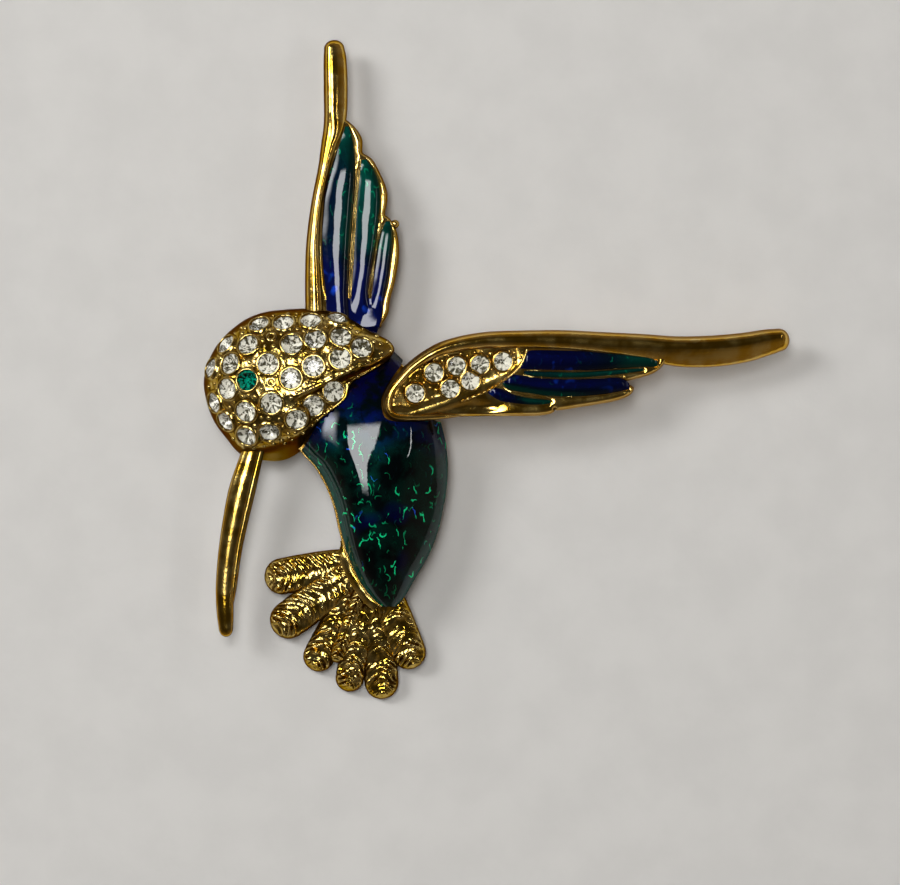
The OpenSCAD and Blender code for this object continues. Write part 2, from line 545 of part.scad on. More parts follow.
// Stone places: on the head along the dome's normal, on the wing along the plate's
module on_head(row) {
    n = head_normal(row[0], row[1]);
    turn = atan2(n[1], n[0]);
    translate(head_point(row[0], row[1])) rotate([0, acos(n[2]), turn]) rotate(-turn)
        translate([0, 0, girdle_lift(stone_d)]) children();
}
module on_near_wing(p) {
    near_place() translate([near_xy(p)[0], near_xy(p)[1], wing_t + girdle_lift(wing_stone_d)]) children();
}
// The direction from one place in which the nearest of the other places is farthest
function free_turn(places, i, reach) =
    let (turns = [for (a = [0:30:330]) min([for (j = [0:len(places) - 1]) if (j != i)
        norm(places[i] + reach * [cos(a), sin(a)] - places[j])])],
         best = max(turns))
    [for (k = [0:11]) if (turns[k] == best) 30 * k][0];

module head_stone(row) {
    color(CLEAR) on_head(row) stone(stone_d);
}
module eye_stone() {
    color(EYE_GREEN) on_head(EYE_STONE) stone(stone_d);
}
module wing_stone(p) {
    color(CLEAR) on_near_wing(p) stone(wing_stone_d);
}

// All the metal of the bird, soldered into one, with the rooms for its stones and enamel
module casting() {
    head_places = concat(
        [for (row = HEAD_SET) head_xy(row[0], row[1])],
        [for (a = [0:10:350]) head_xy(a, 1)]);
    wing_places = [for (p = NEAR_STONES) near_xy(p)];
    color(GILT) difference() {
        union() {
            head();
            beak();
            body_bed();
            tail();
            near_wing();
            far_wing();
            for (i = [0:len(HEAD_SET) - 1])
                on_head(HEAD_SET[i]) bead(stone_d, free_turn(head_places, i, stone_d));
            for (i = [0:len(NEAR_STONES) - 1])
                on_near_wing(NEAR_STONES[i]) bead(wing_stone_d, free_turn(wing_places, i, wing_stone_d));
        }
        for (row = HEAD_SET) on_head(row) seat(stone_d);
        for (p = NEAR_STONES) on_near_wing(p) seat(wing_stone_d);
    }
}

// The pin: a bar across the back, a hinge block, a stem and a catch, in one plain piece
module pin_back() {
    left = HEAD_AT[0] - head_row(180)[0] * head_r + 0.5;
    right = body_point(0.12, 1, rim_w, 0, 0)[0];
    bar_z = back_z - gap - pin_t;
    block = pin_w;
    stem_z = 0.2 + stem_d / 2;
    color(GILT) {
        translate([left, PIN_Y - pin_w / 2, bar_z]) cube([right - left, pin_w, pin_t]);
        translate([left, PIN_Y - pin_w / 2, 0]) cube([block, pin_w, bar_z + pin_t / 2]);
        difference() {
            translate([right - block, PIN_Y - pin_w / 2, 0]) cube([0.7 * block, pin_w, bar_z + pin_t / 2]);
            translate([right - block - 1, PIN_Y - pin_w, stem_z - stem_d / 4])
                cube([block + 2, pin_w, stem_d / 2]);
        }
        translate([left + block / 2, PIN_Y, stem_z]) rotate([0, 90, 0])
            cylinder(h = right - left - block, d = stem_d, $fn = 32);
    }
}

casting();
body_enamel();
far_wing_enamel();
for (k = [0:len(NEAR_CELLS) - 1])
    near_wing_enamel(k);
eye_stone();
for (i = [0:len(HEAD_STONES) - 1])
    head_stone(HEAD_STONES[i]);
for (i = [0:len(NEAR_STONES) - 1])
    wing_stone(NEAR_STONES[i]);
pin_back();
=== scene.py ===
"""Dresses the hummingbird brooch: a gilt cast bird with cut crystals and coloured enamel.

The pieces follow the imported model's own sizes and places. Lengths in the classes are in
millimetres, +Z faces the viewer, and a mesh is turned into metres when it is made.
"""

from __future__ import annotations

import logging
import math
from collections.abc import Callable, Sequence
from dataclasses import dataclass, field
from enum import Enum

import bmesh
import bpy
import numpy as np
from mathutils import Matrix, Vector
from mathutils.geometry import delaunay_2d_cdt
from mathutils.kdtree import KDTree

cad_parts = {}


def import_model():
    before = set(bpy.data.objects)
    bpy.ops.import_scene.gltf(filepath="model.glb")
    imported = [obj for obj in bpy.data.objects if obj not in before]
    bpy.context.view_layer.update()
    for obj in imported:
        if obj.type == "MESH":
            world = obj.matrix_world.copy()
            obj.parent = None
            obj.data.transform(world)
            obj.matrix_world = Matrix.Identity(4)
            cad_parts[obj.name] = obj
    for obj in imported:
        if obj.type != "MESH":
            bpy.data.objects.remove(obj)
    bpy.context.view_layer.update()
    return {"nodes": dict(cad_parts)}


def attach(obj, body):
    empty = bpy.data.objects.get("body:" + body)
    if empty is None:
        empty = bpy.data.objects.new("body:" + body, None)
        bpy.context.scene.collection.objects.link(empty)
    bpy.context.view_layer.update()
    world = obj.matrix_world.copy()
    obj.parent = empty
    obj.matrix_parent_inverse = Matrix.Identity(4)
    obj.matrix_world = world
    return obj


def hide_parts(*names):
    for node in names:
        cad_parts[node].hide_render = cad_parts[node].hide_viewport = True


LOG = logging.getLogger("brooch")
MM = 0.001
SEED = 7
Array = np.ndarray
Colour = tuple[float, float, float]
Table = tuple[tuple[float, ...], ...]
Socket = bpy.types.NodeSocket
Node = bpy.types.Node
Tree = bpy.types.NodeTree
Material = bpy.types.Material
Piece = bpy.types.Object
# Millimetres under which points are welded, edges are dropped, and a plate's inner points are too
# near its outline
WELD = 0.002
SLIVER = 0.0005
RIM_CLEAR = 0.04
# A smooth noise lies mostly within this range
LOW, HIGH = 0.3, 0.7


class Slot(Enum):
    """The record's material slots."""

    GOLD = "gold_plate"
    BODY = "body_enamel"
    WING = "wing_enamel"
    CRYSTAL = "clear_crystal"
    EYE = "eye_crystal"


class Noise(Enum):
    """How rough a cast surface is left, in millimetres of height."""

    CAST = 0.03
    CHASED = 0.06


class Carving(Enum):
    """What other pieces do to one."""

    CUT = "DIFFERENCE"
    JOIN = "UNION"


class Domain(Enum):
    """What a stored number belongs to."""

    POINT = "POINT"
    FACE = "FACE"


# Curves through the rows of a table


def curve(rows: Sequence, at: Array | float, closed: bool = False) -> Array:
    """Rows of a table at fractional places, on a smooth curve through its rows.

    Args:
        rows: The table.
        at: Places, where 1.5 is half way from the second row to the third.
        closed: Whether the first row follows the last.

    Returns:
        One row for each place, on the last axis.
    """
    table = np.asarray(rows, float)
    at = np.asarray(at, float)
    n = len(table)
    i = np.floor(at).astype(int)
    if not closed:
        i = np.clip(i, 0, n - 2)
    near = i[..., None] + np.arange(-1, 3)
    near = near % n if closed else np.clip(near, 0, n - 1)
    a, b, c, d = np.moveaxis(table[near], -2, 0)
    f = (at - i)[..., None]
    return b + 0.5 * f * (c - a + f * (2 * a - 5 * b + 4 * c - d + f * (3 * b - a - 3 * c + d)))


def smoothed(rows: Sequence, steps: int) -> Array:
    """A table drawn more finely, with a number of steps along it."""
    return curve(rows, np.linspace(0, len(rows) - 1, steps + 1))


def ramp(x: Array | float) -> Array:
    """A smooth rise from 0 at 0 to 1 at 1."""
    c = np.clip(x, 0, 1)
    return c * c * (3 - 2 * c)


def ripple(points: Array, length: float, seed: int = SEED) -> Array:
    """A smooth random height at each point, from about -1 to 1.

    Args:
        points: Points, one a row.
        length: Size of the ripples in millimetres.
        seed: Choice of the pattern.

    Returns:
        A height for each point.
    """
    draw = np.random.default_rng(seed)
    waves = draw.normal(size=(9, 3)) * 2.2 / length
    phases = draw.uniform(0, 2 * math.pi, 9)
    return np.sin(points @ waves.T + phases).sum(-1) / 4.5


def within(points: Array, outline: Array) -> Array:
    """Which points lie inside a closed outline.

    Args:
        points: Points in the plane, one a row.
        outline: The outline's corners in order.

    Returns:
        True for each point inside.
    """
    x, y = points[:, :1], points[:, 1:2]
    a, b = outline, np.roll(outline, -1, axis=0)
    rises = (a[:, 1] > y) != (b[:, 1] > y)
    span = np.where(b[:, 1] == a[:, 1], 1e-12, b[:, 1] - a[:, 1])
    return (rises & (x < a[:, 0] + (y - a[:, 1]) * (b[:, 0] - a[:, 0]) / span)).sum(1) % 2 == 1


def distance_to(points: Array, line: Array) -> Array:
    """How far each point is from the nearest point of a finely drawn line.

    Args:
        points: Points in the plane, one a row.
        line: The line's points.

    Returns:
        A distance for each point.
    """
    tree = KDTree(len(line))
    for k, p in enumerate(line):
        tree.insert((*p, 0.0), k)
    tree.balance()
    return np.array([tree.find((*p, 0.0))[2] for p in points])


def dense(outline: Array, step: float) -> Array:
    """Adds points to a closed outline.

    Args:
        outline: Its corners in order.
        step: The greatest distance left between two of them.

    Returns:
        The finer outline.
    """
    ends = np.roll(outline, -1, 0)
    counts = np.maximum(1, np.ceil(np.linalg.norm(ends - outline, axis=1) / step)).astype(int)
    sides = zip(outline, ends, counts)
    return np.concatenate([a + (b - a) * np.arange(n)[:, None] / n for a, b, n in sides])


def sideways(run: Array) -> Array:
    """Unit steps to the right of each step of a path in plan."""
    return np.stack([run[:, 1], -run[:, 0]], -1) / np.linalg.norm(run, axis=1)[:, None]


def grown(outline: Array, by: float) -> Array:
    """Moves a closed outline, which runs counter-clockwise, outwards."""
    return outline + by * sideways(np.roll(outline, -1, 0) - np.roll(outline, 1, 0))


def beside(outline: Array, offsets: Sequence[float]) -> Array:
    """Points at given distances on both sides of a closed outline."""
    return np.concatenate([grown(outline, k) for k in (*offsets, *(-x for x in offsets))])


def level(xy: Array, z: float) -> Array:
    """Points in plan, all put at one height."""
    return np.column_stack([xy, np.full(len(xy), z)])


def axes(way: Array) -> Array:
    """Three unit axes, one a row, the last of them along a direction."""
    z = way / np.linalg.norm(way)
    x = np.cross([0.0, 1.0, 0.0], z)
    x /= np.linalg.norm(x)
    return np.array([x, np.cross(z, x), z])


def rotation(*turns: tuple[float, str]) -> Array:
    """The matrix of turns in degrees about named axes, of which the last is made first."""
    made = Matrix.Identity(3)
    for angle, axis in turns:
        made = made @ Matrix.Rotation(math.radians(angle), 3, axis)
    return np.array(made)


def capped(rows: Array, length: float) -> Array:
    """Rounds off the end of a path.

    Args:
        rows: Path rows of x, y, z, half width, rise above and depth below.
        length: How far the round end reaches past the last row.

    Returns:
        The rows with those of the round end.
    """
    run = rows[-1, :3] - rows[-2, :3]
    run = run / np.linalg.norm(run)
    a = np.linspace(0, math.pi / 2, 12)[1:-1, None]
    ends = np.hstack([rows[-1, :3] + run * length * np.sin(a), rows[-1, 3:] * np.cos(a)])
    return np.vstack([rows, ends])


def rod_rings(rows: Array, sides: int, power: float = 1.0) -> Array:
    """Rings along a path, each upright and square to the path in plan.

    Args:
        rows: Path rows of x, y, z, half width, rise above and depth below, and how far the top leans.
        sides: Points in each ring.
        power: Below 1 for a top that is flatter than a half circle.

    Returns:
        The rings, as an array of ring, point and axis.
    """
    side = sideways(np.gradient(rows, axis=0)[:, :2])
    a = np.linspace(0, 2 * math.pi, sides, endpoint=False)
    c, s = np.cos(a), np.sin(a)
    tall = np.where(s[None] > 0, rows[:, 4:5] * np.abs(s) ** power, rows[:, 5:6] * s)
    wide = rows[:, 3:4] * c
    if rows.shape[1] > 6:
        tall = tall - rows[:, 6:7] * wide * np.maximum(s, 0)
    x, y = (rows[:, k : k + 1] + side[:, k : k + 1] * wide for k in (0, 1))
    return np.stack([x, y, rows[:, 2:3] + tall], -1)


@dataclass
class Solid:
    """Points and faces of one piece, in millimetres, gathered before its mesh is made."""

    points: list[Array] = field(default_factory=list)
    faces: list[Array] = field(default_factory=list)
    groups: list[int] = field(default_factory=list)
    count: int = 0

    def add(self, points: Array, faces: Array, group: int = 0) -> None:
        """Adds a patch.

        Args:
            points: Its points, one a row.
            faces: Its faces, one a row, as places in points.
            group: Which of the piece's materials it takes.
        """
        self.points.append(np.asarray(points, float).reshape(-1, 3))
        self.faces.append(np.asarray(faces, int) + self.count)
        self.groups.append(group)
        self.count += len(self.points[-1])

    def grid(self, points: Array, wrap: bool = False) -> None:
        """Adds a sheet of four-sided faces.

        Args:
            points: Array of row, column and axis.
            wrap: Whether the last column joins the first.
        """
        n, m = points.shape[:2]
        i, j = np.meshgrid(np.arange(n - 1), np.arange(m if wrap else m - 1), indexing="ij")
        corners = [i * m + j, i * m + (j + 1) % m, (i + 1) * m + (j + 1) % m, (i + 1) * m + j]
        self.add(points, np.stack(corners, -1).reshape(-1, 4))

    def slab(self, top: Array, bottom: Array) -> None:
        """Adds a closed solid between two sheets of the same layout.

        Args:
            top: Upper sheet, as row, column and axis.
            bottom: Lower sheet.
        """
        self.grid(top)
        self.grid(bottom)
        for edge in (np.s_[0, :], np.s_[-1, :], np.s_[:, 0], np.s_[:, -1]):
            self.grid(np.stack([top[edge], bottom[edge]]))

    def skin(self, rings: Array) -> None:
        """Adds a closed skin through rings of points, with a fan of faces at each end."""
        middle = [np.repeat(r.mean(0)[None], rings.shape[1], 0)[None] for r in (rings[0], rings[-1])]
        self.grid(np.concatenate([middle[0], rings, middle[1]]), wrap=True)

    def column(self, outline: Array, low: float, high: float) -> Solid:
        """Adds a column with a given outline, from one height to another, and returns this solid."""
        self.skin(np.stack([level(outline, low), level(outline, high)]))
        return self

    def turned(self, profile: Sequence, at: Array, axis: Array, around: int, ring: bool) -> None:
        """Adds a turned shape.

        Args:
            profile: Rows of radius and height along the axis.
            at: The point on the axis at height 0.
            axis: Its direction.
            around: Points round it.
            ring: Whether the profile closes on itself, as in a ring.
        """
        shape = np.asarray(profile, float)
        if ring:
            shape = np.vstack([shape, shape[:1]])
        x, y, z = axes(axis)
        a = np.linspace(0, 2 * math.pi, around, endpoint=False)
        out = np.cos(a)[:, None] * x + np.sin(a)[:, None] * y
        self.grid(at + shape[:, :1, None] * out + shape[:, 1:, None] * z, wrap=True)

    def filled(
        self,
        outline: Array,
        spacing: float,
        extra: Array,
        top: Callable[[Array], Array],
        bottom: Callable[[Array], Array],
    ) -> None:
        """Adds a plate with any outline, whose upper side follows a height function.

        Args:
            outline: Its outline in plan.
            spacing: Distance between the points inside.
            extra: More points, where the relief turns.
            top: Height of the upper side at each point.
            bottom: Height of the lower side.
        """
        low, high = outline.min(0), outline.max(0)
        x, y = np.meshgrid(np.arange(low[0], high[0], spacing), np.arange(low[1], high[1], spacing))
        x[::2] += spacing / 2
        inner = np.stack([x.ravel(), y.ravel()], -1)
        inner = inner[distance_to(inner, extra) > 0.5 * spacing]
        inner = np.vstack([inner, extra])
        inner = inner[within(inner, outline)]
        inner = inner[distance_to(inner, outline) > RIM_CLEAR]
        flat = [Vector(p) for p in np.vstack([outline, inner])]
        made = delaunay_2d_cdt(flat, [], [list(range(len(outline)))], 1, 1e-6)
        plan = np.array([tuple(v) for v in made[0]])
        tris = np.array(made[2])
        n = len(plan)
        edges = np.concatenate([tris[:, [0, 1]], tris[:, [1, 2]], tris[:, [2, 0]]])
        keys = np.sort(edges, axis=1)
        _, first, times = np.unique(keys, axis=0, return_index=True, return_counts=True)
        rim = edges[first[times == 1]]
        upper = np.column_stack([plan, top(plan)])
        lower = np.column_stack([plan, bottom(plan)])
        start = self.count
        self.add(np.vstack([upper, lower]), tris)
        walls = np.column_stack([rim[:, 1], rim[:, 0], rim[:, 0] + n, rim[:, 1] + n])
        self.faces += [tris[:, ::-1] + n + start, walls + start]
        self.groups += [0, 0]

    def moved(self, turn: Array, by: Array) -> Solid:
        """Turns every point with a matrix, moves it, and returns this solid."""
        self.points = [p @ turn.T + by for p in self.points]
        return self

    def piece(self, name: str, materials: Sequence[Material], crease: float = 40) -> Piece:
        """Makes the Blender object.

        Args:
            name: Name of the piece.
            materials: Its materials, in the order of the groups.
            crease: Angle in degrees over which an edge stays sharp.

        Returns:
            The new object.
        """
        mesh = bpy.data.meshes.new(name)
        faces = [f for part in self.faces for f in part.tolist()]
        mesh.from_pydata((np.vstack(self.points) * MM).tolist(), [], faces)
        marks = np.concatenate([np.full(len(f), g) for f, g in zip(self.faces, self.groups)])
        mesh.polygons.foreach_set("material_index", marks.astype(np.int32))
        for material in materials:
            mesh.materials.append(material)
        return finished(mesh, name, crease)


def finished(mesh: bpy.types.Mesh, name: str, crease: float) -> Piece:
    """Cleans a mesh, shades it and makes its object.

    Args:
        mesh: The mesh.
        name: Name of the piece.
        crease: Angle in degrees over which an edge stays sharp.

    Returns:
        The new object.
    """
    work = bmesh.new()
    work.from_mesh(mesh)
    bmesh.ops.remove_doubles(work, verts=work.verts, dist=WELD * MM)
    bmesh.ops.dissolve_degenerate(work, edges=work.edges, dist=SLIVER * MM)
    bmesh.ops.recalc_face_normals(work, faces=work.faces)
    work.to_mesh(mesh)
    work.free()
    mesh.polygons.foreach_set("use_smooth", [crease > 0] * len(mesh.polygons))
    if crease > 0:
        mesh.set_sharp_from_angle(angle=math.radians(crease))
    piece = bpy.data.objects.new(name, mesh)
    bpy.context.scene.collection.objects.link(piece)
    return piece


def carved(piece: Piece, tools: Sequence[Piece], how: Carving) -> Piece:
    """Cuts a piece with others, or joins them to it, and removes them.

    Args:
        piece: The piece.
        tools: The pieces that cut or join it.
        how: What they do to it.

    Returns:
        The new piece, with the same name.
    """
    for tool in tools:
        change = piece.modifiers.new(tool.name, "BOOLEAN")
        change.object = tool
        change.operation = how.value
        change.solver = "EXACT"
    view = bpy.context.evaluated_depsgraph_get()
    mesh = bpy.data.meshes.new_from_object(piece.evaluated_get(view))
    name = piece.name
    for old in (piece, *tools):
        bpy.data.objects.remove(old)
    return finished(mesh, name, 40)


def dressed(piece: Piece, slot: Slot, *nodes: str) -> Piece:
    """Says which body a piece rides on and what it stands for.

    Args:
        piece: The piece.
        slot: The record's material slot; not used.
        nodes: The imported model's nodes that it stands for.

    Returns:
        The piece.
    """
    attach(piece, "root")
    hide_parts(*nodes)
    LOG.info("%s: %d faces, for %s", piece.name, len(piece.data.polygons), ", ".join(nodes))
    return piece


def gilded(made: Solid, name: str, gold: Material, crease: float = 50) -> None:
    """Makes a piece of the casting from a solid."""
    dressed(made.piece(name, [gold], crease), Slot.GOLD, "casting")


def marked(piece: Piece, name: str, domain: Domain, values: Array) -> Piece:
    """Stores a number at each of a piece's points or faces, for its material to read.

    Args:
        piece: The piece.
        name: What the number is called.
        domain: What each number belongs to.
        values: The numbers.

    Returns:
        The piece.
    """
    store = piece.data.attributes.new(name, "FLOAT", domain.value)
    store.data.foreach_set("value", np.asarray(values, np.float32))
    return piece


# Shader nodes


class Wiring:
    """Adds nodes to one shader tree and links them."""

    def __init__(self, tree: Tree) -> None:
        """Takes the tree."""
        self.tree = tree

    def node(self, kind: str, **values: object) -> Node:
        """Adds a node.

        Args:
            kind: Blender's name for it.
            **values: Its properties.

        Returns:
            The node.
        """
        made = self.tree.nodes.new(kind)
        for name, value in values.items():
            setattr(made, name, value)
        return made

    def feed(self, target: Socket, value: Socket | float | Sequence) -> None:
        """Links a socket to another, or sets its value.

        Args:
            target: The input.
            value: An output, a number or a colour.
        """
        if isinstance(value, Socket):
            self.tree.links.new(value, target)
        elif isinstance(value, (int, float)):
            target.default_value = value
        else:
            target.default_value = (*value, 1.0)[: len(target.default_value)]

    def fill(self, target: Node, **values: Socket | float | Sequence) -> Node:
        """Feeds a node's inputs, named with underscores for spaces, and returns it."""
        for label, value in values.items():
            self.feed(target.inputs[label.replace("_", " ")], value)
        return target

    def math(self, operation: str, a: Socket | float, b: Socket | float = 0.0) -> Socket:
        """Adds a sum.

        Args:
            operation: Blender's name for it.
            a: First value.
            b: Second value.

        Returns:
            Its result.
        """
        made = self.node("ShaderNodeMath", operation=operation)
        self.feed(made.inputs[0], a)
        self.feed(made.inputs[1], b)
        return made.outputs[0]

    def vector(self, operation: str, a: Socket | Sequence, b: Socket | Sequence | float) -> Socket:
        """Adds a sum of vectors.

        Args:
            operation: Blender's name for it.
            a: First vector.
            b: Second vector, or the factor for SCALE.

        Returns:
            Its result.
        """
        made = self.node("ShaderNodeVectorMath", operation=operation)
        self.feed(made.inputs[0], a)
        self.feed(made.inputs["Scale"] if operation == "SCALE" else made.inputs[1], b)
        return made.outputs["Value" if operation == "DOT_PRODUCT" else "Vector"]

    def split(self, vector: Socket) -> Sequence[Socket]:
        """The three parts of a vector."""
        return self.fill(self.node("ShaderNodeSeparateXYZ"), Vector=vector).outputs

    def blend(self, share: Socket | float, a: Socket | Sequence, b: Socket | Sequence) -> Socket:
        """Mixes two colours.

        Args:
            share: How much of b.
            a: First colour.
            b: Second colour.

        Returns:
            The mixed colour.
        """
        made = self.node("ShaderNodeMix", data_type="RGBA")
        self.feed(made.inputs["Factor"], share)
        self.feed(made.inputs[6], a)
        self.feed(made.inputs[7], b)
        return made.outputs[2]

    def between(
        self, value: Socket, low: Socket | float, high: Socket | float, a: float = 0.0, b: float = 1.0
    ) -> Socket:
        """Maps a range of values smoothly to another range.

        Args:
            value: The value.
            low: Value that gives a.
            high: Value that gives b.
            a: Start of the result.
            b: End of the result.

        Returns:
            The mapped value.
        """
        made = self.node("ShaderNodeMapRange", interpolation_type="SMOOTHSTEP")
        for place, number in enumerate((value, low, high, a, b)):
            self.feed(made.inputs[place], number)
        return made.outputs[0]

    def pattern(self, at: Socket, scale: float, detail: float = 2.0) -> Node:
        """Adds a noise that reads a place, with its scale and the number of its finer layers."""
        return self.fill(self.node("ShaderNodeTexNoise"), Vector=at, Scale=scale, Detail=detail)

    def noise(self, size: float, detail: float = 3.0) -> Socket:
        """A noise in the object's own space, with features of a size in millimetres."""
        return self.pattern(self.place(), 1 / (size * MM), detail).outputs["Fac"]

    def mark(self, name: str) -> Socket:
        """A number stored on the piece's points or faces."""
        return self.node("ShaderNodeAttribute", attribute_name=name).outputs["Fac"]

    def place(self) -> Socket:
        """The surface's place in the object's own space."""
        return self.node("ShaderNodeTexCoord").outputs["Object"]

    def upward(self) -> Socket:
        """How much the surface faces up: 1 on top, 0 on its sides."""
        return self.split(self.node("ShaderNodeTexCoord").outputs["Normal"])[2]

    def along(self, start: Sequence, end: Sequence) -> Socket:
        """How far the surface's place is along a line.

        Args:
            start: Where the share is 0, in millimetres.
            end: Where the share is 1.

        Returns:
            The share, which may be below 0 or over 1.
        """
        a, b = np.array(start) * MM, np.array(end) * MM
        way = (b - a) / ((b - a) @ (b - a))
        return self.vector("DOT_PRODUCT", self.vector("SUBTRACT", self.place(), tuple(a)), tuple(way))

    def bump(self, height: Socket, size: float, strength: float) -> Socket:
        """Turns a height into a normal.

        Args:
            height: The height.
            size: What a height of 1 stands for, in millimetres.
            strength: How much of it shows.

        Returns:
            The normal.
        """
        made = self.fill(self.node("ShaderNodeBump"), Height=height, Distance=size * MM, Strength=strength)
        return made.outputs["Normal"]


def shader_group(name: str, inputs: dict[str, float], outputs: Sequence[str]) -> Wiring:
    """Starts a group of shader nodes that takes numbers and puts out numbers.

    Args:
        name: Its name.
        inputs: Its inputs, with their usual values.
        outputs: Its outputs.

    Returns:
        The wiring of the group, with its input and output nodes in place.
    """
    tree = bpy.data.node_groups.new(name, "ShaderNodeTree")
    number = "NodeSocketFloat"
    for label, value in inputs.items():
        tree.interface.new_socket(name=label, in_out="INPUT", socket_type=number).default_value = value
    for label in outputs:
        tree.interface.new_socket(name=label, in_out="OUTPUT", socket_type=number)
    wiring = Wiring(tree)
    wiring.node("NodeGroupInput", name="in")
    wiring.node("NodeGroupOutput", name="out")
    return wiring


def recess_group() -> Tree:
    """Makes the group that tells worn edges from recesses and from sides, where the metal takes painted
    shade.

    Returns:
        The group: Reach in millimetres and Break up in; Recess, Edge and Side out.
    """
    w = shader_group("Recess and edge", {"Reach": 0.6, "Break up": 0.5}, ("Recess", "Edge", "Side"))
    source, out = w.tree.nodes["in"].outputs, w.tree.nodes["out"]
    shade = w.node("ShaderNodeAmbientOcclusion", samples=6)
    w.fill(shade, Distance=w.math("MULTIPLY", source["Reach"], MM))
    mottle = w.math("MULTIPLY", w.math("SUBTRACT", w.noise(0.5), 0.5), source["Break up"])
    point = w.node("ShaderNodeNewGeometry").outputs["Pointiness"]
    w.fill(
        out,
        # Recess: how shut in the surface is, from ambient occlusion, for painted shade
        Recess=w.between(w.math("ADD", shade.outputs["AO"], mottle), 0.95, 0.35),
        Edge=w.between(point, 0.51, 0.6),
        # Side: how far the surface faces sideways, for painted shade on the sides
        Side=w.between(w.upward(), 0.74, 0.42),
    )
    return w.tree


def grain_group() -> Tree:
    """Makes the group for the fine unevenness of polished metal and enamel.

    Returns:
        The group: Size in millimetres in; Height and Mottle out.
    """
    w = shader_group("Fine grain", {"Size": 0.4}, ("Height", "Mottle"))
    source, out = w.tree.nodes["in"].outputs, w.tree.nodes["out"]
    fine = w.vector("SCALE", w.place(), w.math("DIVIDE", 1 / MM, source["Size"]))
    height, mottle = w.pattern(fine, 1.0, 4.0), w.pattern(fine, 0.21)
    w.fill(out, Height=height.outputs["Fac"], Mottle=mottle.outputs["Fac"])
    return w.tree


def arcs_group() -> Tree:
    """Makes the group for the short engraved arcs under the enamel, some of them painted as glints.

    Returns:
        The group: Size in millimetres, Radius and Width as shares of it, and Share lit in; Glint and
        Height out.
    """
    usual = {"Size": 1.0, "Radius": 0.3, "Width": 0.06, "Share lit": 0.4}
    w = shader_group("Engraved arcs", usual, ("Glint", "Height"))
    source, out = w.tree.nodes["in"].outputs, w.tree.nodes["out"]
    middle = (0.5, 0.5, 0.5)
    level_only = (1.0, 1.0, 0.0)
    sway = w.pattern(w.place(), 0.9 / MM)
    swing = w.vector("SCALE", w.vector("SUBTRACT", sway.outputs["Color"], middle), 0.9)
    scale = w.math("DIVIDE", 1 / MM, source["Size"])
    flat = w.vector("MULTIPLY", w.vector("SCALE", w.place(), scale), (1.0, 0.6, 0.0))
    at = w.vector("ADD", flat, w.vector("MULTIPLY", swing, level_only))
    cell = w.fill(w.node("ShaderNodeTexVoronoi", voronoi_dimensions="2D"), Scale=1.0, Vector=at)
    near = w.math("ABSOLUTE", w.math("SUBTRACT", cell.outputs["Distance"], source["Radius"]))
    line = w.between(near, source["Width"], w.math("MULTIPLY", source["Width"], 0.25))
    draw = w.split(cell.outputs["Color"])
    around = w.math("MULTIPLY", draw[0], 2 * math.pi)
    facing = w.fill(w.node("ShaderNodeCombineXYZ"), X=w.math("COSINE", around), Y=w.math("SINE", around))
    off = w.vector("NORMALIZE", w.vector("SUBTRACT", at, cell.outputs["Position"]), (0, 0, 0))
    arc = w.between(w.vector("DOT_PRODUCT", off, facing.outputs[0]), 0.25, 0.75)
    stroke = w.math("MULTIPLY", line, arc)
    # Painted highlight: a random share of the arcs is picked to glint
    dark = w.math("SUBTRACT", 1.0, source["Share lit"])
    lit = w.between(draw[1], dark, w.math("ADD", dark, 0.3))
    w.fill(out, Height=stroke, Glint=w.math("MULTIPLY", stroke, lit))
    return w.tree


@dataclass
class Effects:
    """The node groups that several materials share, built once."""

    recess: Tree = field(default_factory=recess_group)
    grain: Tree = field(default_factory=grain_group)
    arcs: Tree = field(default_factory=arcs_group)

    def use(self, wiring: Wiring, tree: Tree, **values: float) -> Node:
        """Places a group in a material, with its own values, and returns the group's node."""
        return wiring.fill(wiring.node("ShaderNodeGroup", node_tree=tree), **values)


def new_material(name: str) -> tuple[Material, Wiring, Node]:
    """Starts a material, and returns it with its wiring and its main shader."""
    material = bpy.data.materials.new(name)
    material.use_nodes = True
    shader = material.node_tree.nodes["Principled BSDF"]
    return material, Wiring(material.node_tree), shader


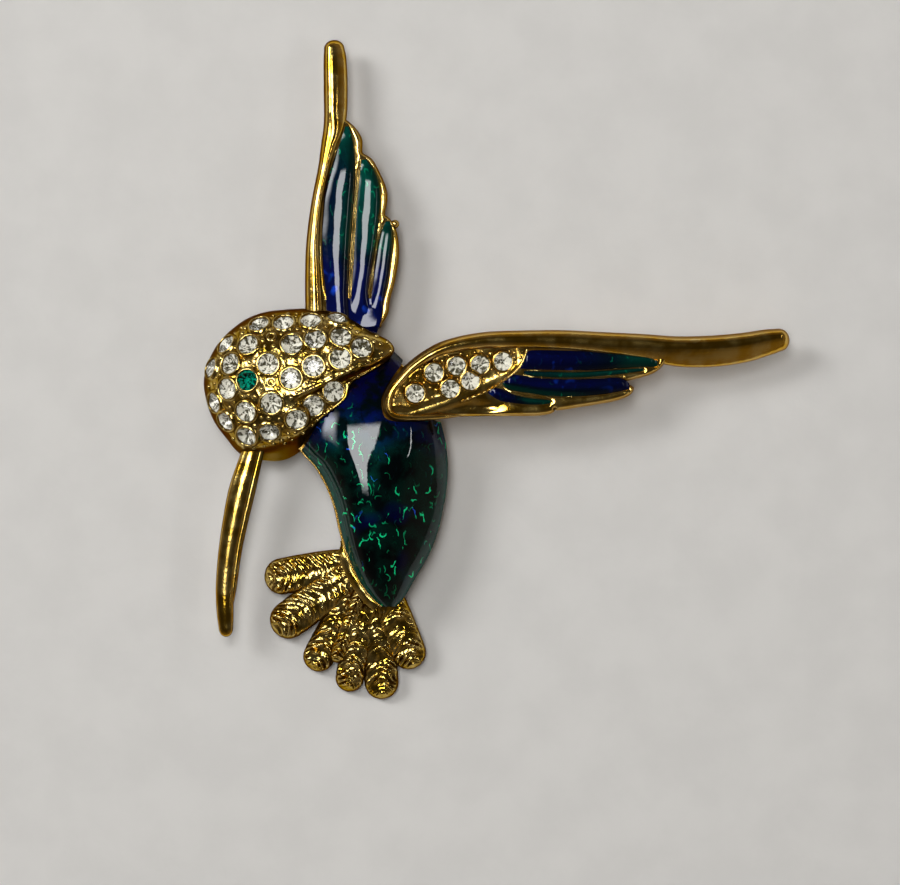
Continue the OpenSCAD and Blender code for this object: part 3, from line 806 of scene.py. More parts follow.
@dataclass(frozen=True)
class GoldFinish:
    """Gold plate over a casting, bright on its worn edges, with painted shade in its recesses and on its
    sides.
    """

    name: str = "gold"
    bright: Colour = (0.96, 0.73, 0.27)
    base: Colour = (0.78, 0.44, 0.035)
    # Painted shade in the recesses
    deep: Colour = (0.15, 0.07, 0.006)
    # Painted shade on the sides, and how much of it they take
    side: Colour = (0.21, 0.105, 0.006)
    side_shade_share: float = 0.85
    graze: Colour = (0.16, 0.09, 0.03)
    rough: float = 0.09
    uneven: float = 0.09
    reach: float = 0.7
    break_up: float = 0.25
    mottle: float = 0.6
    # How much rougher the sides and the recesses are
    side_rough: float = 0.22
    recess_dirt: float = 0.2
    grain: float = 0.35
    grain_height: float = 0.012

    def material(self, effects: Effects) -> Material:
        """Builds the material from the shared groups."""
        made, w, shader = new_material(self.name)
        worn = effects.use(w, effects.recess, Reach=self.reach, Break_up=self.break_up).outputs
        grain = effects.use(w, effects.grain, Size=self.grain).outputs
        tone = w.blend(w.between(grain["Mottle"], 0.35, 0.65, 0.0, self.mottle), self.base, self.bright)
        tone = w.blend(worn["Edge"], tone, self.bright)
        # Painted shade: the sides turn darker
        tone = w.blend(w.math("MULTIPLY", worn["Side"], self.side_shade_share), tone, self.side)
        rough = w.between(grain["Mottle"], LOW, HIGH, self.rough, self.rough + self.uneven)
        side_rough = w.math("MULTIPLY", worn["Side"], self.side_rough)
        dirt = w.math("ADD", side_rough, w.math("MULTIPLY", worn["Recess"], self.recess_dirt))
        w.fill(
            shader,
            # Painted shade: the recesses turn darker with ambient occlusion
            Base_Color=w.blend(worn["Recess"], tone, self.deep),
            Roughness=w.math("ADD", rough, dirt),
            Metallic=1.0,
            Specular_Tint=self.graze,
            Normal=w.bump(grain["Height"], self.grain_height, 1.0),
        )
        return made


@dataclass(frozen=True)
class EnamelTop:
    """The clear smooth top that both enamels have."""

    graze: Colour = (0.0, 0.12, 0.10)
    rough: float = 0.02
    index: float = 1.42

    def lay(self, w: Wiring, shader: Node, size: float, height: float) -> None:
        """Lays the top over a shader.

        Args:
            w: The material's wiring.
            shader: Its main shader.
            size: Size of the top's slow ripples in millimetres.
            height: Their height.
        """
        w.fill(
            shader,
            Specular_IOR_Level=0.0,
            Specular_Tint=self.graze,
            Coat_Roughness=self.rough,
            Coat_IOR=self.index,
            Coat_Normal=w.bump(w.noise(size), height, 1.0),
        )


@dataclass(frozen=True)
class BodyEnamelFinish:
    """Deep clear enamel over engraved metal: blue at the neck, green below."""

    name: str = "body enamel"
    blue: Colour = (0.0006, 0.0012, 0.055)
    green: Colour = (0.0004, 0.018, 0.013)
    dark: Colour = (0.0002, 0.0026, 0.0034)
    # Painted highlight: a brighter green on the steep sides
    edge: Colour = (0.0006, 0.060, 0.045)
    # Colours of the painted glints
    glint: Colour = (0.01, 0.90, 0.34)
    glint_blue: Colour = (0.02, 0.10, 0.75)
    # Where the blue starts to turn, and where it is all green
    start: tuple[float, float, float] = (-11.5, -0.5, 0.0)
    end: tuple[float, float, float] = (-11.6, -9.0, 0.0)
    top: EnamelTop = EnamelTop()

    def material(self, effects: Effects) -> Material:
        """Builds the material from the shared groups."""
        made, w, shader = new_material(self.name)
        arcs = effects.use(w, effects.arcs, Size=0.86, Radius=0.38, Width=0.085, Share_lit=0.64).outputs
        small = effects.use(w, effects.arcs, Size=0.52, Radius=0.36, Width=0.13, Share_lit=0.20).outputs
        up = w.upward()
        share = w.math("ADD", w.along(self.start, self.end), w.math("SUBTRACT", w.noise(3.2, 2.0), 0.5))
        hue = w.blend(w.between(share, 0.2, 1.0), self.blue, self.green)
        hue = w.blend(w.between(w.noise(2.2, 3.0), 0.42, 0.60), hue, self.dark)
        patch = w.between(w.noise(4.2, 1.0), 0.56, 0.72)
        hue = w.blend(w.math("MULTIPLY", patch, 0.6), hue, self.blue)
        # Painted highlight on the steep sides of the lower body
        thin = w.math("MULTIPLY", w.between(up, 0.85, 0.30), w.between(share, 0.5, 1.1))
        hue = w.blend(thin, hue, self.edge)
        # Painted glints: bright arcs in clusters, duller and less metallic
        spark = w.blend(w.between(w.noise(1.7, 1.0), 0.62, 0.70), self.glint, self.glint_blue)
        lines = w.math("MAXIMUM", arcs["Glint"], w.math("MULTIPLY", small["Glint"], 0.6))
        clusters = w.between(w.noise(3.4, 1.0), 0.38, 0.58, 0.15)
        lit = w.math("MULTIPLY", lines, w.math("MULTIPLY", w.between(share, 0.35, 0.9), clusters))
        foil = w.between(up, 0.25, 0.70)
        w.fill(
            shader,
            Base_Color=w.blend(lit, hue, spark),
            Metallic=w.math("MULTIPLY", w.between(lit, 0.0, 0.6, 0.75, 0.2), foil),
            Roughness=w.between(lit, 0.0, 1.0, 0.42, 0.30),
            Normal=w.bump(arcs["Height"], 0.05, 0.7),
            # Painted shade: the coat thins on steep sides, so they mirror less of the floor
            Coat_Weight=w.between(up, 0.15, 0.70, 0.10, 1.0),
        )
        self.top.lay(w, shader, 1.6, 0.010)
        return made


@dataclass(frozen=True)
class WingEnamelFinish:
    """Clear enamel on a wing, blue at the root and green where the piece's own mark says."""

    name: str = "wing enamel"
    blue: Colour = (0.0010, 0.0026, 0.036)
    middle: Colour = (0.0006, 0.0048, 0.014)
    green: Colour = (0.0006, 0.036, 0.026)
    # Colour of the painted glints
    glint: Colour = (0.004, 0.42, 0.19)
    spot: Colour = (0.004, 0.030, 0.30)
    top: EnamelTop = EnamelTop()

    def material(self, effects: Effects) -> Material:
        """Builds the material from the shared groups."""
        made, w, shader = new_material(self.name)
        cloud = w.math("SUBTRACT", w.noise(1.5, 2.0), 0.5)
        share = w.math("ADD", w.mark("green"), w.math("MULTIPLY", cloud, 0.3))
        hue = w.blend(w.between(share, 0.1, 0.5), self.blue, self.middle)
        hue = w.blend(w.between(share, 0.45, 0.95), hue, self.green)
        arcs = effects.use(w, effects.arcs, Size=0.7, Radius=0.36, Width=0.12, Share_lit=0.35).outputs
        # Painted glints, more of them towards the green
        lit = w.math("MULTIPLY", arcs["Glint"], w.between(share, 0.35, 0.8, 0.04, 0.45))
        patch = w.math("MULTIPLY", w.between(w.noise(1.3, 1.0), 0.62, 0.78), w.between(share, 0.45, 0.1))
        hue = w.blend(patch, hue, self.spot)
        grain = effects.use(w, effects.grain, Size=1.2)
        w.fill(
            shader,
            Base_Color=w.blend(lit, hue, self.glint),
            Metallic=0.6,
            Roughness=w.between(grain.outputs["Mottle"], LOW, HIGH, 0.34, 0.48),
            Normal=w.bump(arcs["Height"], 0.03, 0.5),
            Coat_Weight=1.0,
        )
        self.top.lay(w, shader, 1.2, 0.008)
        return made


@dataclass(frozen=True)
class CrystalFinish:
    """Cut glass: the clear crown, and the foil that backs the pavilion, with painted reflections on its
    facets.
    """

    name: str
    glass: Colour = (0.98, 0.97, 0.93)
    # Painted reflections: a foil facet's colour when bright and when dark
    bright: Colour = (0.95, 0.93, 0.84)
    dark_reflection: Colour = (0.07, 0.062, 0.035)

    def crown(self) -> Material:
        """Builds the glass of the crown."""
        made, w, shader = new_material(self.name)
        paler = tuple(0.93 * c for c in self.glass)
        w.fill(
            shader,
            Base_Color=w.blend(w.between(w.noise(1.4, 1.0), LOW, HIGH), self.glass, paler),
            Transmission_Weight=1.0,
            Roughness=0.01,
            IOR=1.52,
            Specular_IOR_Level=0.2,
        )
        through = w.fill(w.node("ShaderNodeBsdfTransparent"), Color=self.glass)
        shadow = w.node("ShaderNodeLightPath").outputs["Is Shadow Ray"]
        either = w.node("ShaderNodeMixShader")
        for place, value in enumerate((shadow, shader.outputs[0], through.outputs[0])):
            w.feed(either.inputs[place], value)
        w.fill(made.node_tree.nodes["Material Output"], Surface=either.outputs[0])
        return made

    def pavilion(self) -> Material:
        """Builds the foil behind the pavilion, with painted reflections: each facet bright or dark at
        random.
        """
        made, w, shader = new_material(f"{self.name} foil")
        speckle = w.math("MULTIPLY", w.math("SUBTRACT", w.noise(0.26, 1.0), 0.5), 2.4)
        # Painted reflections: each facet's stored number picks bright or dark
        tone = w.between(w.math("ADD", w.mark("tone"), speckle), 0.25, 0.72)
        w.fill(shader, Base_Color=w.blend(tone, self.dark_reflection, self.bright), Metallic=0.30, Roughness=0.25)
        return made


# Sizes and places that the bird's parts share


@dataclass(frozen=True)
class Plan:
    """Sizes and places that more than one part of the bird uses."""

    back_z: float = 3.8
    wall: float = 2.2
    gap: float = 0.06
    edge_h: float = 0.9
    head_r: float = 7.2
    head_h: float = 5.6
    body_len: float = 25.9
    body_w: float = 14.9
    body_h: float = 5.0
    feather_t: float = 1.7
    neck: tuple[float, float] = (-10.95, 2.0)

    @property
    def edge_z(self) -> float:
        """Height of the edge from which the domes rise."""
        return self.back_z + self.edge_h

    @property
    def head_at(self) -> Array:
        """The head's centre in plan."""
        return np.array(self.neck) + self.head_r * np.array([-1.46, -0.43])


@dataclass(frozen=True)
class Stone:
    """A round cut stone, with its sizes as shares of its diameter."""

    across: float
    table: float = 0.58
    crown: float = 0.16
    girdle: float = 0.03
    deep: float = 0.6
    # Radius and height of the corners half way up the crown, and radius of the pavilion's last break
    shoulder: tuple[float, float] = (0.41, 0.55)
    culet: float = 0.13
    # How far the table stands above the metal, in millimetres
    proud: float = 0.2

    @property
    def lift(self) -> float:
        """Height of the girdle above the metal round the stone."""
        return self.proud - self.crown * self.across

    def solid(self, at: Array, axis: Array, turn: float) -> Solid:
        """Cuts the stone.

        Args:
            at: Where its girdle is.
            axis: Which way its table faces.
            turn: How far it is turned about its axis, in radians.

        Returns:
            The stone, with its pavilion as group 1.
        """
        d = self.across

        def ring(n: int, shift: float, radius: float, z: float) -> Array:
            """A level ring of n corners, turned by a share of one step."""
            a = 2 * math.pi * (np.arange(n) + shift) / n + turn
            return np.column_stack([radius * d * np.cos(a), radius * d * np.sin(a), np.full(n, z * d)])

        low = -self.girdle
        floor = -self.deep + self.crown
        points = np.vstack([
            ring(8, 0.5, self.table / 2, self.crown),
            ring(8, 0, self.shoulder[0], self.shoulder[1] * self.crown),
            ring(16, 0, 0.5, 0),
            ring(16, 0, 0.5, low),
            ring(8, 0.5, self.culet, low + 0.74 * (floor - low)),
            [[0, 0, floor * d]],
        ])
        # Corners 0 to 7 are the table's, 8 to 15 the shoulder's, 16 to 47 the girdle's two rings,
        # 48 to 55 the pavilion's last break, and 56 is its point
        crown: list[list[int]] = []
        back: list[list[int]] = []
        for k in range(8):
            nxt = (k + 1) % 8
            g, h, e = 16 + 2 * k, 16 + 2 * k + 1, 16 + (2 * k + 2) % 16
            crown += [[k, 8 + nxt, nxt], [k, 8 + k, h], [k, h, 8 + nxt]]
            crown += [[8 + k, g, h], [8 + nxt, h, e], [g, g + 16, h + 16], [g, h + 16, h]]
            crown += [[h, h + 16, e + 16], [h, e + 16, e]]
            q, before = 48 + k, 48 + (k - 1) % 8
            back += [[q, h + 16, g + 16], [q, e + 16, h + 16], [q, g + 16, before], [q, before, 56]]
        crown += [[0, k, k + 1] for k in range(1, 7)]
        made = Solid()
        made.add(at + points @ axes(axis), np.array(crown))
        made.faces.append(np.array(back))
        made.groups.append(1)
        return made

    def build(self, at: Array, axis: Array, seed: int, node: str, slot: Slot, glass: Sequence) -> None:
        """Makes the stone's piece.

        Args:
            at: Where its girdle is.
            axis: Which way its table faces.
            seed: Choice of its turn and of its facets' painted reflections.
            node: The node that it stands for.
            slot: Its material slot.
            glass: The materials of its crown and its pavilion.
        """
        draw = np.random.default_rng(SEED + seed)
        piece = self.solid(at, axis, draw.uniform(0, math.pi)).piece(f"cut_{node}", glass, 0)
        # A random number for each facet, which the foil turns into a painted reflection
        facet_reflections = draw.uniform(0, 1, len(piece.data.polygons))
        dressed(marked(piece, "tone", Domain.FACE, facet_reflections), slot, node)

    def setting(self, target: Solid, at: Array, axis: Array, lip: float = 0.10) -> None:
        """Adds the ring of metal that the stone sits in.

        Args:
            target: The metal that gets it.
            at: The point of the surface on the stone's axis.
            axis: The stone's axis.
            lip: How far the ring stands above the surface.
        """
        r = self.across / 2 + 0.05
        profile = [
            (r - 0.30, -0.62), (r - 0.02, -0.24), (r, lip - 0.10), (r - 0.08, lip - 0.04), (r - 0.09, lip),
            (r - 0.05, lip + 0.04), (r + 0.03, lip + 0.04), (r + 0.11, lip - 0.02), (r + 0.18, lip - 0.12),
            (r + 0.30, -0.22), (r + 0.34, -0.5)]
        target.turned(profile, at, axis, 48, ring=True)


def bead(target: Solid, at: Array, axis: Array, radius: float, rise: float) -> None:
    """Adds a round grain of metal.

    Args:
        target: The metal that gets it.
        at: The point of the surface under it.
        axis: Which way it stands.
        radius: Its radius.
        rise: How far it stands above the surface.
    """
    a = np.linspace(0, math.pi / 2, 6)
    rows = [(0.0, -0.5), (radius, -0.5)] + [(radius * math.cos(k), rise * math.sin(k)) for k in a]
    target.turned(rows, at, axis, 16, ring=False)


@dataclass(frozen=True)
class Grains:
    """Round grains of metal, scattered where there is room between the stones."""

    most: int
    least_room: float
    radii: tuple[float, float]
    spaces: tuple[float, float]
    rise: float

    def scatter(self, target: Solid, spots: Array, facing: Array, room: Array) -> None:
        """Adds the grains, those in the widest gaps first.

        Args:
            target: The metal that gets them.
            spots: Places on its surface.
            facing: Which way the surface faces at each.
            room: How much room there is at each.
        """
        draw = np.random.default_rng(SEED)
        for _ in range(self.most):
            k = int(np.argmax(room))
            if room[k] < self.least_room:
                break
            radius = min(0.95 * room[k], draw.uniform(*self.radii))
            bead(target, spots[k], facing[k], radius, self.rise * radius)
            away = np.linalg.norm(spots - spots[k], axis=1)
            room = np.minimum(room, away - radius - draw.uniform(*self.spaces))


@dataclass
class Head:
    """The domed head, with its creased throat band, its stones, its seats and its beads."""

    plan: Plan
    stone: Stone = Stone(2.1)
    crease_h: float = 0.7
    crease_from: tuple[float, float] = (0.15, -0.30)
    crease_to: tuple[float, float] = (1.04, 0.10)
    eye: tuple[float, float] = (180, 0.42)
    fine: int = 190
    grains: Grains = Grains(110, 0.15, (0.15, 0.27), (0.05, 0.25), 0.75)
    # Places in plan of the two small rings without a stone, and their section as radius and height
    empty: Table = ((-22.45, -1.3), (-22.5, 3.2))
    ring: Table = ((0.22, -0.3), (0.24, 0.0), (0.30, 0.10), (0.40, 0.13), (0.50, 0.08), (0.58, -0.3))
    # One row each 15 degrees from +X: reach, lift of the edge, flare of the back
    outline: Table = (
        (1.0, 0.68, 0.0), (1.6, 0.58, 0.0), (1.38, 0.46, 0.0), (1.24, 0.3, 0.0),
        (1.13, 0.14, 0.0), (1.04, 0.04, 0.0), (0.99, 0.0, 0.0), (0.99, 0.0, 0.0),
        (1.0, 0.0, 0.0), (1.01, 0.0, 0.0), (1.04, 0.0, 0.0), (1.07, 0.0, 0.0),
        (1.1, 0.0, 0.0), (1.1, 0.0, 0.0), (1.11, 0.0, 0.0), (1.12, 0.0, 0.0),
        (1.16, 0.02, 0.02), (1.02, 0.1, 0.12), (0.9, 0.28, 0.2), (0.83, 0.48, 0.16),
        (0.78, 0.62, 0.05), (0.76, 0.7, 0.0), (0.81, 0.73, 0.0), (0.92, 0.72, 0.0))
    # Angle from +X, and share of the outline's reach
    stones: Table = (
        (88, 0.8), (64, 0.83), (36, 0.77), (50, 0.61), (73, 0.49), (133, 0.66), (112, 0.84),
        (162, 0.69), (128, 0.28), (23, 0.32), (20, 0.55), (22, 0.77), (10, 0.1), (189, 0.68),
        (198, 0.89), (248, 0.31), (222, 0.58), (216, 0.86), (238, 0.78), (257, 0.73),
        (292, 0.72), (322, 0.73), (348, 0.79), (147, 0.89), (170, 0.92), (48, 0.95))

    def row(self, a: Array) -> Array:
        """The outline's row at angles in degrees."""
        return curve(self.outline, np.mod(a, 360) / 15, closed=True)

    def reach(self, a: Array, s: Array, row: int = 0) -> Array:
        """An offset from the head's centre in plan.

        Args:
            a: Angle in degrees.
            s: Share of the reach.
            row: Which of the outline's columns is the reach.

        Returns:
            The offset.
        """
        r = np.radians(a)
        way = np.stack([np.cos(r), np.sin(r)], -1)
        return self.plan.head_r * (self.row(a)[..., row] * s)[..., None] * way

    def foot(self, a: Array) -> Array:
        """The outline of the head's back in plan, at angles in degrees."""
        return self.plan.head_at + self.reach(a, 1.0) + self.reach(a, 1.0, 2)

    def dome(self, a: Array, s: Array) -> Array:
        """The dome's surface before its crease, at an angle in degrees and a share of the reach."""
        lift = self.row(a)[..., 1]
        rise = np.sqrt(np.maximum(0, 1 - np.abs(s) ** 2.3))
        z = self.plan.edge_z + self.plan.head_h * (lift + (1 - lift) * rise)
        return np.concatenate([self.plan.head_at + self.reach(a, s), z[..., None]], -1)

    def beside_crease(self, xy: Array) -> tuple[Array, Array]:
        """Places against the crease.

        Args:
            xy: Places in plan.

        Returns:
            The distance below the crease, and the share of the way along it.
        """
        start = self.plan.head_at + self.plan.head_r * np.array(self.crease_from)
        run = self.plan.head_r * (np.array(self.crease_to) - self.crease_from)
        off = xy - start
        return (off[..., 0] * run[1] - off[..., 1] * run[0]) / np.linalg.norm(run), off @ run / (run @ run)

    def surface(self, a: Array, s: Array) -> Array:
        """The head's surface with its crease and the lip that runs above it."""
        p = self.dome(a, s)
        below, along = self.beside_crease(p[..., :2])
        started = ramp(along / 0.25) * ramp((1 - s) / 0.12 + 0.3)
        drop = self.crease_h * ramp(below / 0.4 + 0.5)
        lip = 0.16 * np.exp(-(((below + 0.42) / 0.24) ** 2)) + 0.12 * np.exp(-(((below - 0.55) / 0.2) ** 2))
        p[..., 2] += (lip - drop) * started
        return p

    def normal(self, a: Array, s: Array) -> Array:
        """Which way the dome faces."""
        step = self.dome(a, s + 0.04) - self.dome(a, s - 0.04)
        turn = self.dome(a + 4, s) - self.dome(a - 4, s)
        n = np.cross(step, turn)
        return n / np.maximum(np.linalg.norm(n, axis=-1), 1e-9)[..., None]

    def places(self) -> tuple[Array, Array]:
        """Where the stones sit, the eye last, and which way they face."""
        rows = np.array([*self.stones, self.eye], float)
        a, s = rows[:, 0], rows[:, 1]
        at = self.dome(a, s)
        below, along = self.beside_crease(at[..., :2])
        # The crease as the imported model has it
        drop = self.crease_h * ramp(below / 0.5 + 0.5)
        at[..., 2] -= drop * ramp(along / 0.25) * ramp((1 - s) / 0.12 + 0.3)
        return at, self.normal(a, s)

    def shell(self) -> Solid:
        """The hollow dome, with a dip under each stone.

        Returns:
            The metal.
        """
        n = self.fine
        x, y = np.meshgrid(np.linspace(-1, 1, n), np.linspace(-1, 1, n), indexing="ij")
        wide = np.abs(x) >= np.abs(y)
        safe_x, safe_y = np.where(x == 0, 1e-9, x), np.where(y == 0, 1e-9, y)
        r = np.where(wide, x, y)
        turn = np.where(wide, 45 * y / safe_x, 90 - 45 * x / safe_y)
        a = np.where(r < 0, turn + 180, turn)
        s = 1 - (1 - np.abs(r)) ** 1.35
        points = self.surface(a, s)
        facing = self.normal(a, np.maximum(s, 0.03))
        rough = Noise.CHASED.value * ripple(points, 0.8) + Noise.CAST.value * ripple(points, 0.4)
        points += facing * (rough * ramp((1 - s) / 0.1))[..., None]
        radius = self.stone.across / 2 + 0.1
        for at, axis in zip(*self.places()):
            off = points - at
            up = off @ axis
            out = np.linalg.norm(off - up[..., None] * axis, axis=-1)
            near = (np.abs(up) < 1.2) & (out < radius)
            floor = -0.30 - 0.82 * (radius - out)
            points = np.where(near[..., None], points + axis * (floor - up)[..., None], points)
        made = Solid()
        made.grid(points)

        def border(sheet: Array) -> Array:
            """The rim of a square sheet, all the way round."""
            return np.concatenate([sheet[:-1, 0], sheet[-1, :-1], sheet[:0:-1, -1], sheet[0, :0:-1]])

        edge, around = border(points), border(a)
        foot = self.foot(around)
        rings = [edge]
        for f in (0.35, 0.7, 0.93):
            flat = edge[:, :2] + (foot - edge[:, :2]) * f
            rings.append(np.column_stack([flat, edge[:, 2] + (self.plan.back_z - edge[:, 2]) * f]))
        rings.append(level(foot, self.plan.back_z))
        hollow_h = self.plan.head_h + self.plan.edge_h - self.plan.wall
        turn = np.radians(around)
        way = np.stack([np.cos(turn), np.sin(turn)], -1)
        reach = (self.plan.head_r - self.plan.wall) * np.minimum(self.row(around)[:, 0], 1.1)
        for f in np.sin(np.linspace(math.pi / 2, 0.0, 12)):
            flat = self.plan.head_at + (reach * f)[:, None] * way
            rings.append(level(flat, self.plan.back_z + hollow_h * math.sqrt(1 - f * f)))
        made.grid(np.stack(rings), wrap=True)
        return made

    def settings(self) -> Solid:
        """The rings round the stones, the beads between them and the small empty rings.

        Returns:
            The metal.
        """
        made = Solid()
        at, axis = self.places()
        for p, n in zip(at, axis):
            self.stone.setting(made, p, n)
        a, s = np.meshgrid(np.arange(0, 360, 2.5), np.arange(0.04, 0.985, 0.02), indexing="ij")
        a, s = a.ravel(), s.ravel()
        spots = self.surface(a, s)
        facing = self.normal(a, s)
        below, along = self.beside_crease(spots[:, :2])
        room = np.linalg.norm(spots[:, None] - at[None], axis=-1).min(1) - self.stone.across / 2 - 0.12
        room[(np.abs(below) < 0.4) & (along > 0)] = 0
        for place in self.empty:
            k = int(np.argmin(np.linalg.norm(spots[:, :2] - place, axis=1)))
            made.turned(self.ring, spots[k], facing[k], 32, ring=True)
            room = np.minimum(room, np.linalg.norm(spots - spots[k], axis=1) - 0.55)
        room[(s > 0.93) & (self.row(a)[:, 1] < 0.3)] = 0
        self.grains.scatter(made, spots, facing, room)
        return made

    def build(self, gold: Material, clear: Sequence, green: Sequence) -> None:
        """Makes the head's pieces.

        Args:
            gold: The metal.
            clear: The clear stones' two materials.
            green: The eye's two materials.
        """
        gilded(self.shell(), "head", gold)
        gilded(self.settings(), "head_settings", gold)
        at, axis = self.places()
        for k, (p, n) in enumerate(zip(at + axis * self.stone.lift, axis)):
            if k < len(self.stones):
                self.stone.build(p, n, k, f"head_stone_{k + 1}", Slot.CRYSTAL, clear)
            else:
                self.stone.build(p, n, k, "eye_stone", Slot.EYE, green)


@dataclass
class Beak:
    """The long curved beak, its two halves side by side."""

    plan: Plan
    length: float = 19
    width: float = 2.7
    flat: float = 0.72
    drop: float = 1.3
    # Where it leaves the head, in head radii from its centre
    root: tuple[float, float] = (-0.39, -0.92)
    # Place across, width and thickness of either half
    halves: Table = ((-0.16, 0.84, 1.0), (0.66, 0.34, 0.8))
    # Along, bend and width
    rows: Table = (
        (0.0, 0.0, 0.8), (0.08, -0.024, 0.88), (0.23, -0.066, 1.0), (0.4, -0.103, 0.94),
        (0.55, -0.13, 0.87), (0.72, -0.149, 0.8), (0.86, -0.154, 0.75), (0.95, -0.152, 0.64),
        (1.0, -0.15, 0.26))

    def half(self, shift: float, width: float, rise: float) -> Array:
        """Rings of one half of the beak.

        Args:
            shift: Its place across, as a share of the half width.
            width: Its width, as a share of the whole.
            rise: Its thickness, as a share of the whole.

        Returns:
            The rings.
        """
        at = self.plan.head_at + self.plan.head_r * np.array(self.root)
        r = smoothed(self.rows[:-1], 110)
        half = r[:, 2] * self.width / 2
        thick = half * self.flat
        z = self.plan.edge_z + 1 - self.drop * r[:, 0] - (1 - rise) * thick
        shift = shift * (1 - 0.8 * ramp((r[:, 0] - 0.7) / 0.25))
        line = [at[0] + r[:, 1] * self.length + shift * half, at[1] - r[:, 0] * self.length, z]
        path = np.column_stack([*line, half * width, thick * rise, thick * rise])
        rings = rod_rings(capped(path, 0.05 * self.length), 48, power=0.5)
        return rings + 0.008 * ripple(rings, 2.0)[..., None] * np.array([0, 0, 1])

    def build(self, gold: Material) -> None:
        """Makes the beak of the metal."""
        made = Solid()
        for half in self.halves:
            made.skin(self.half(*half))
        gilded(made, "beak", gold, 60)


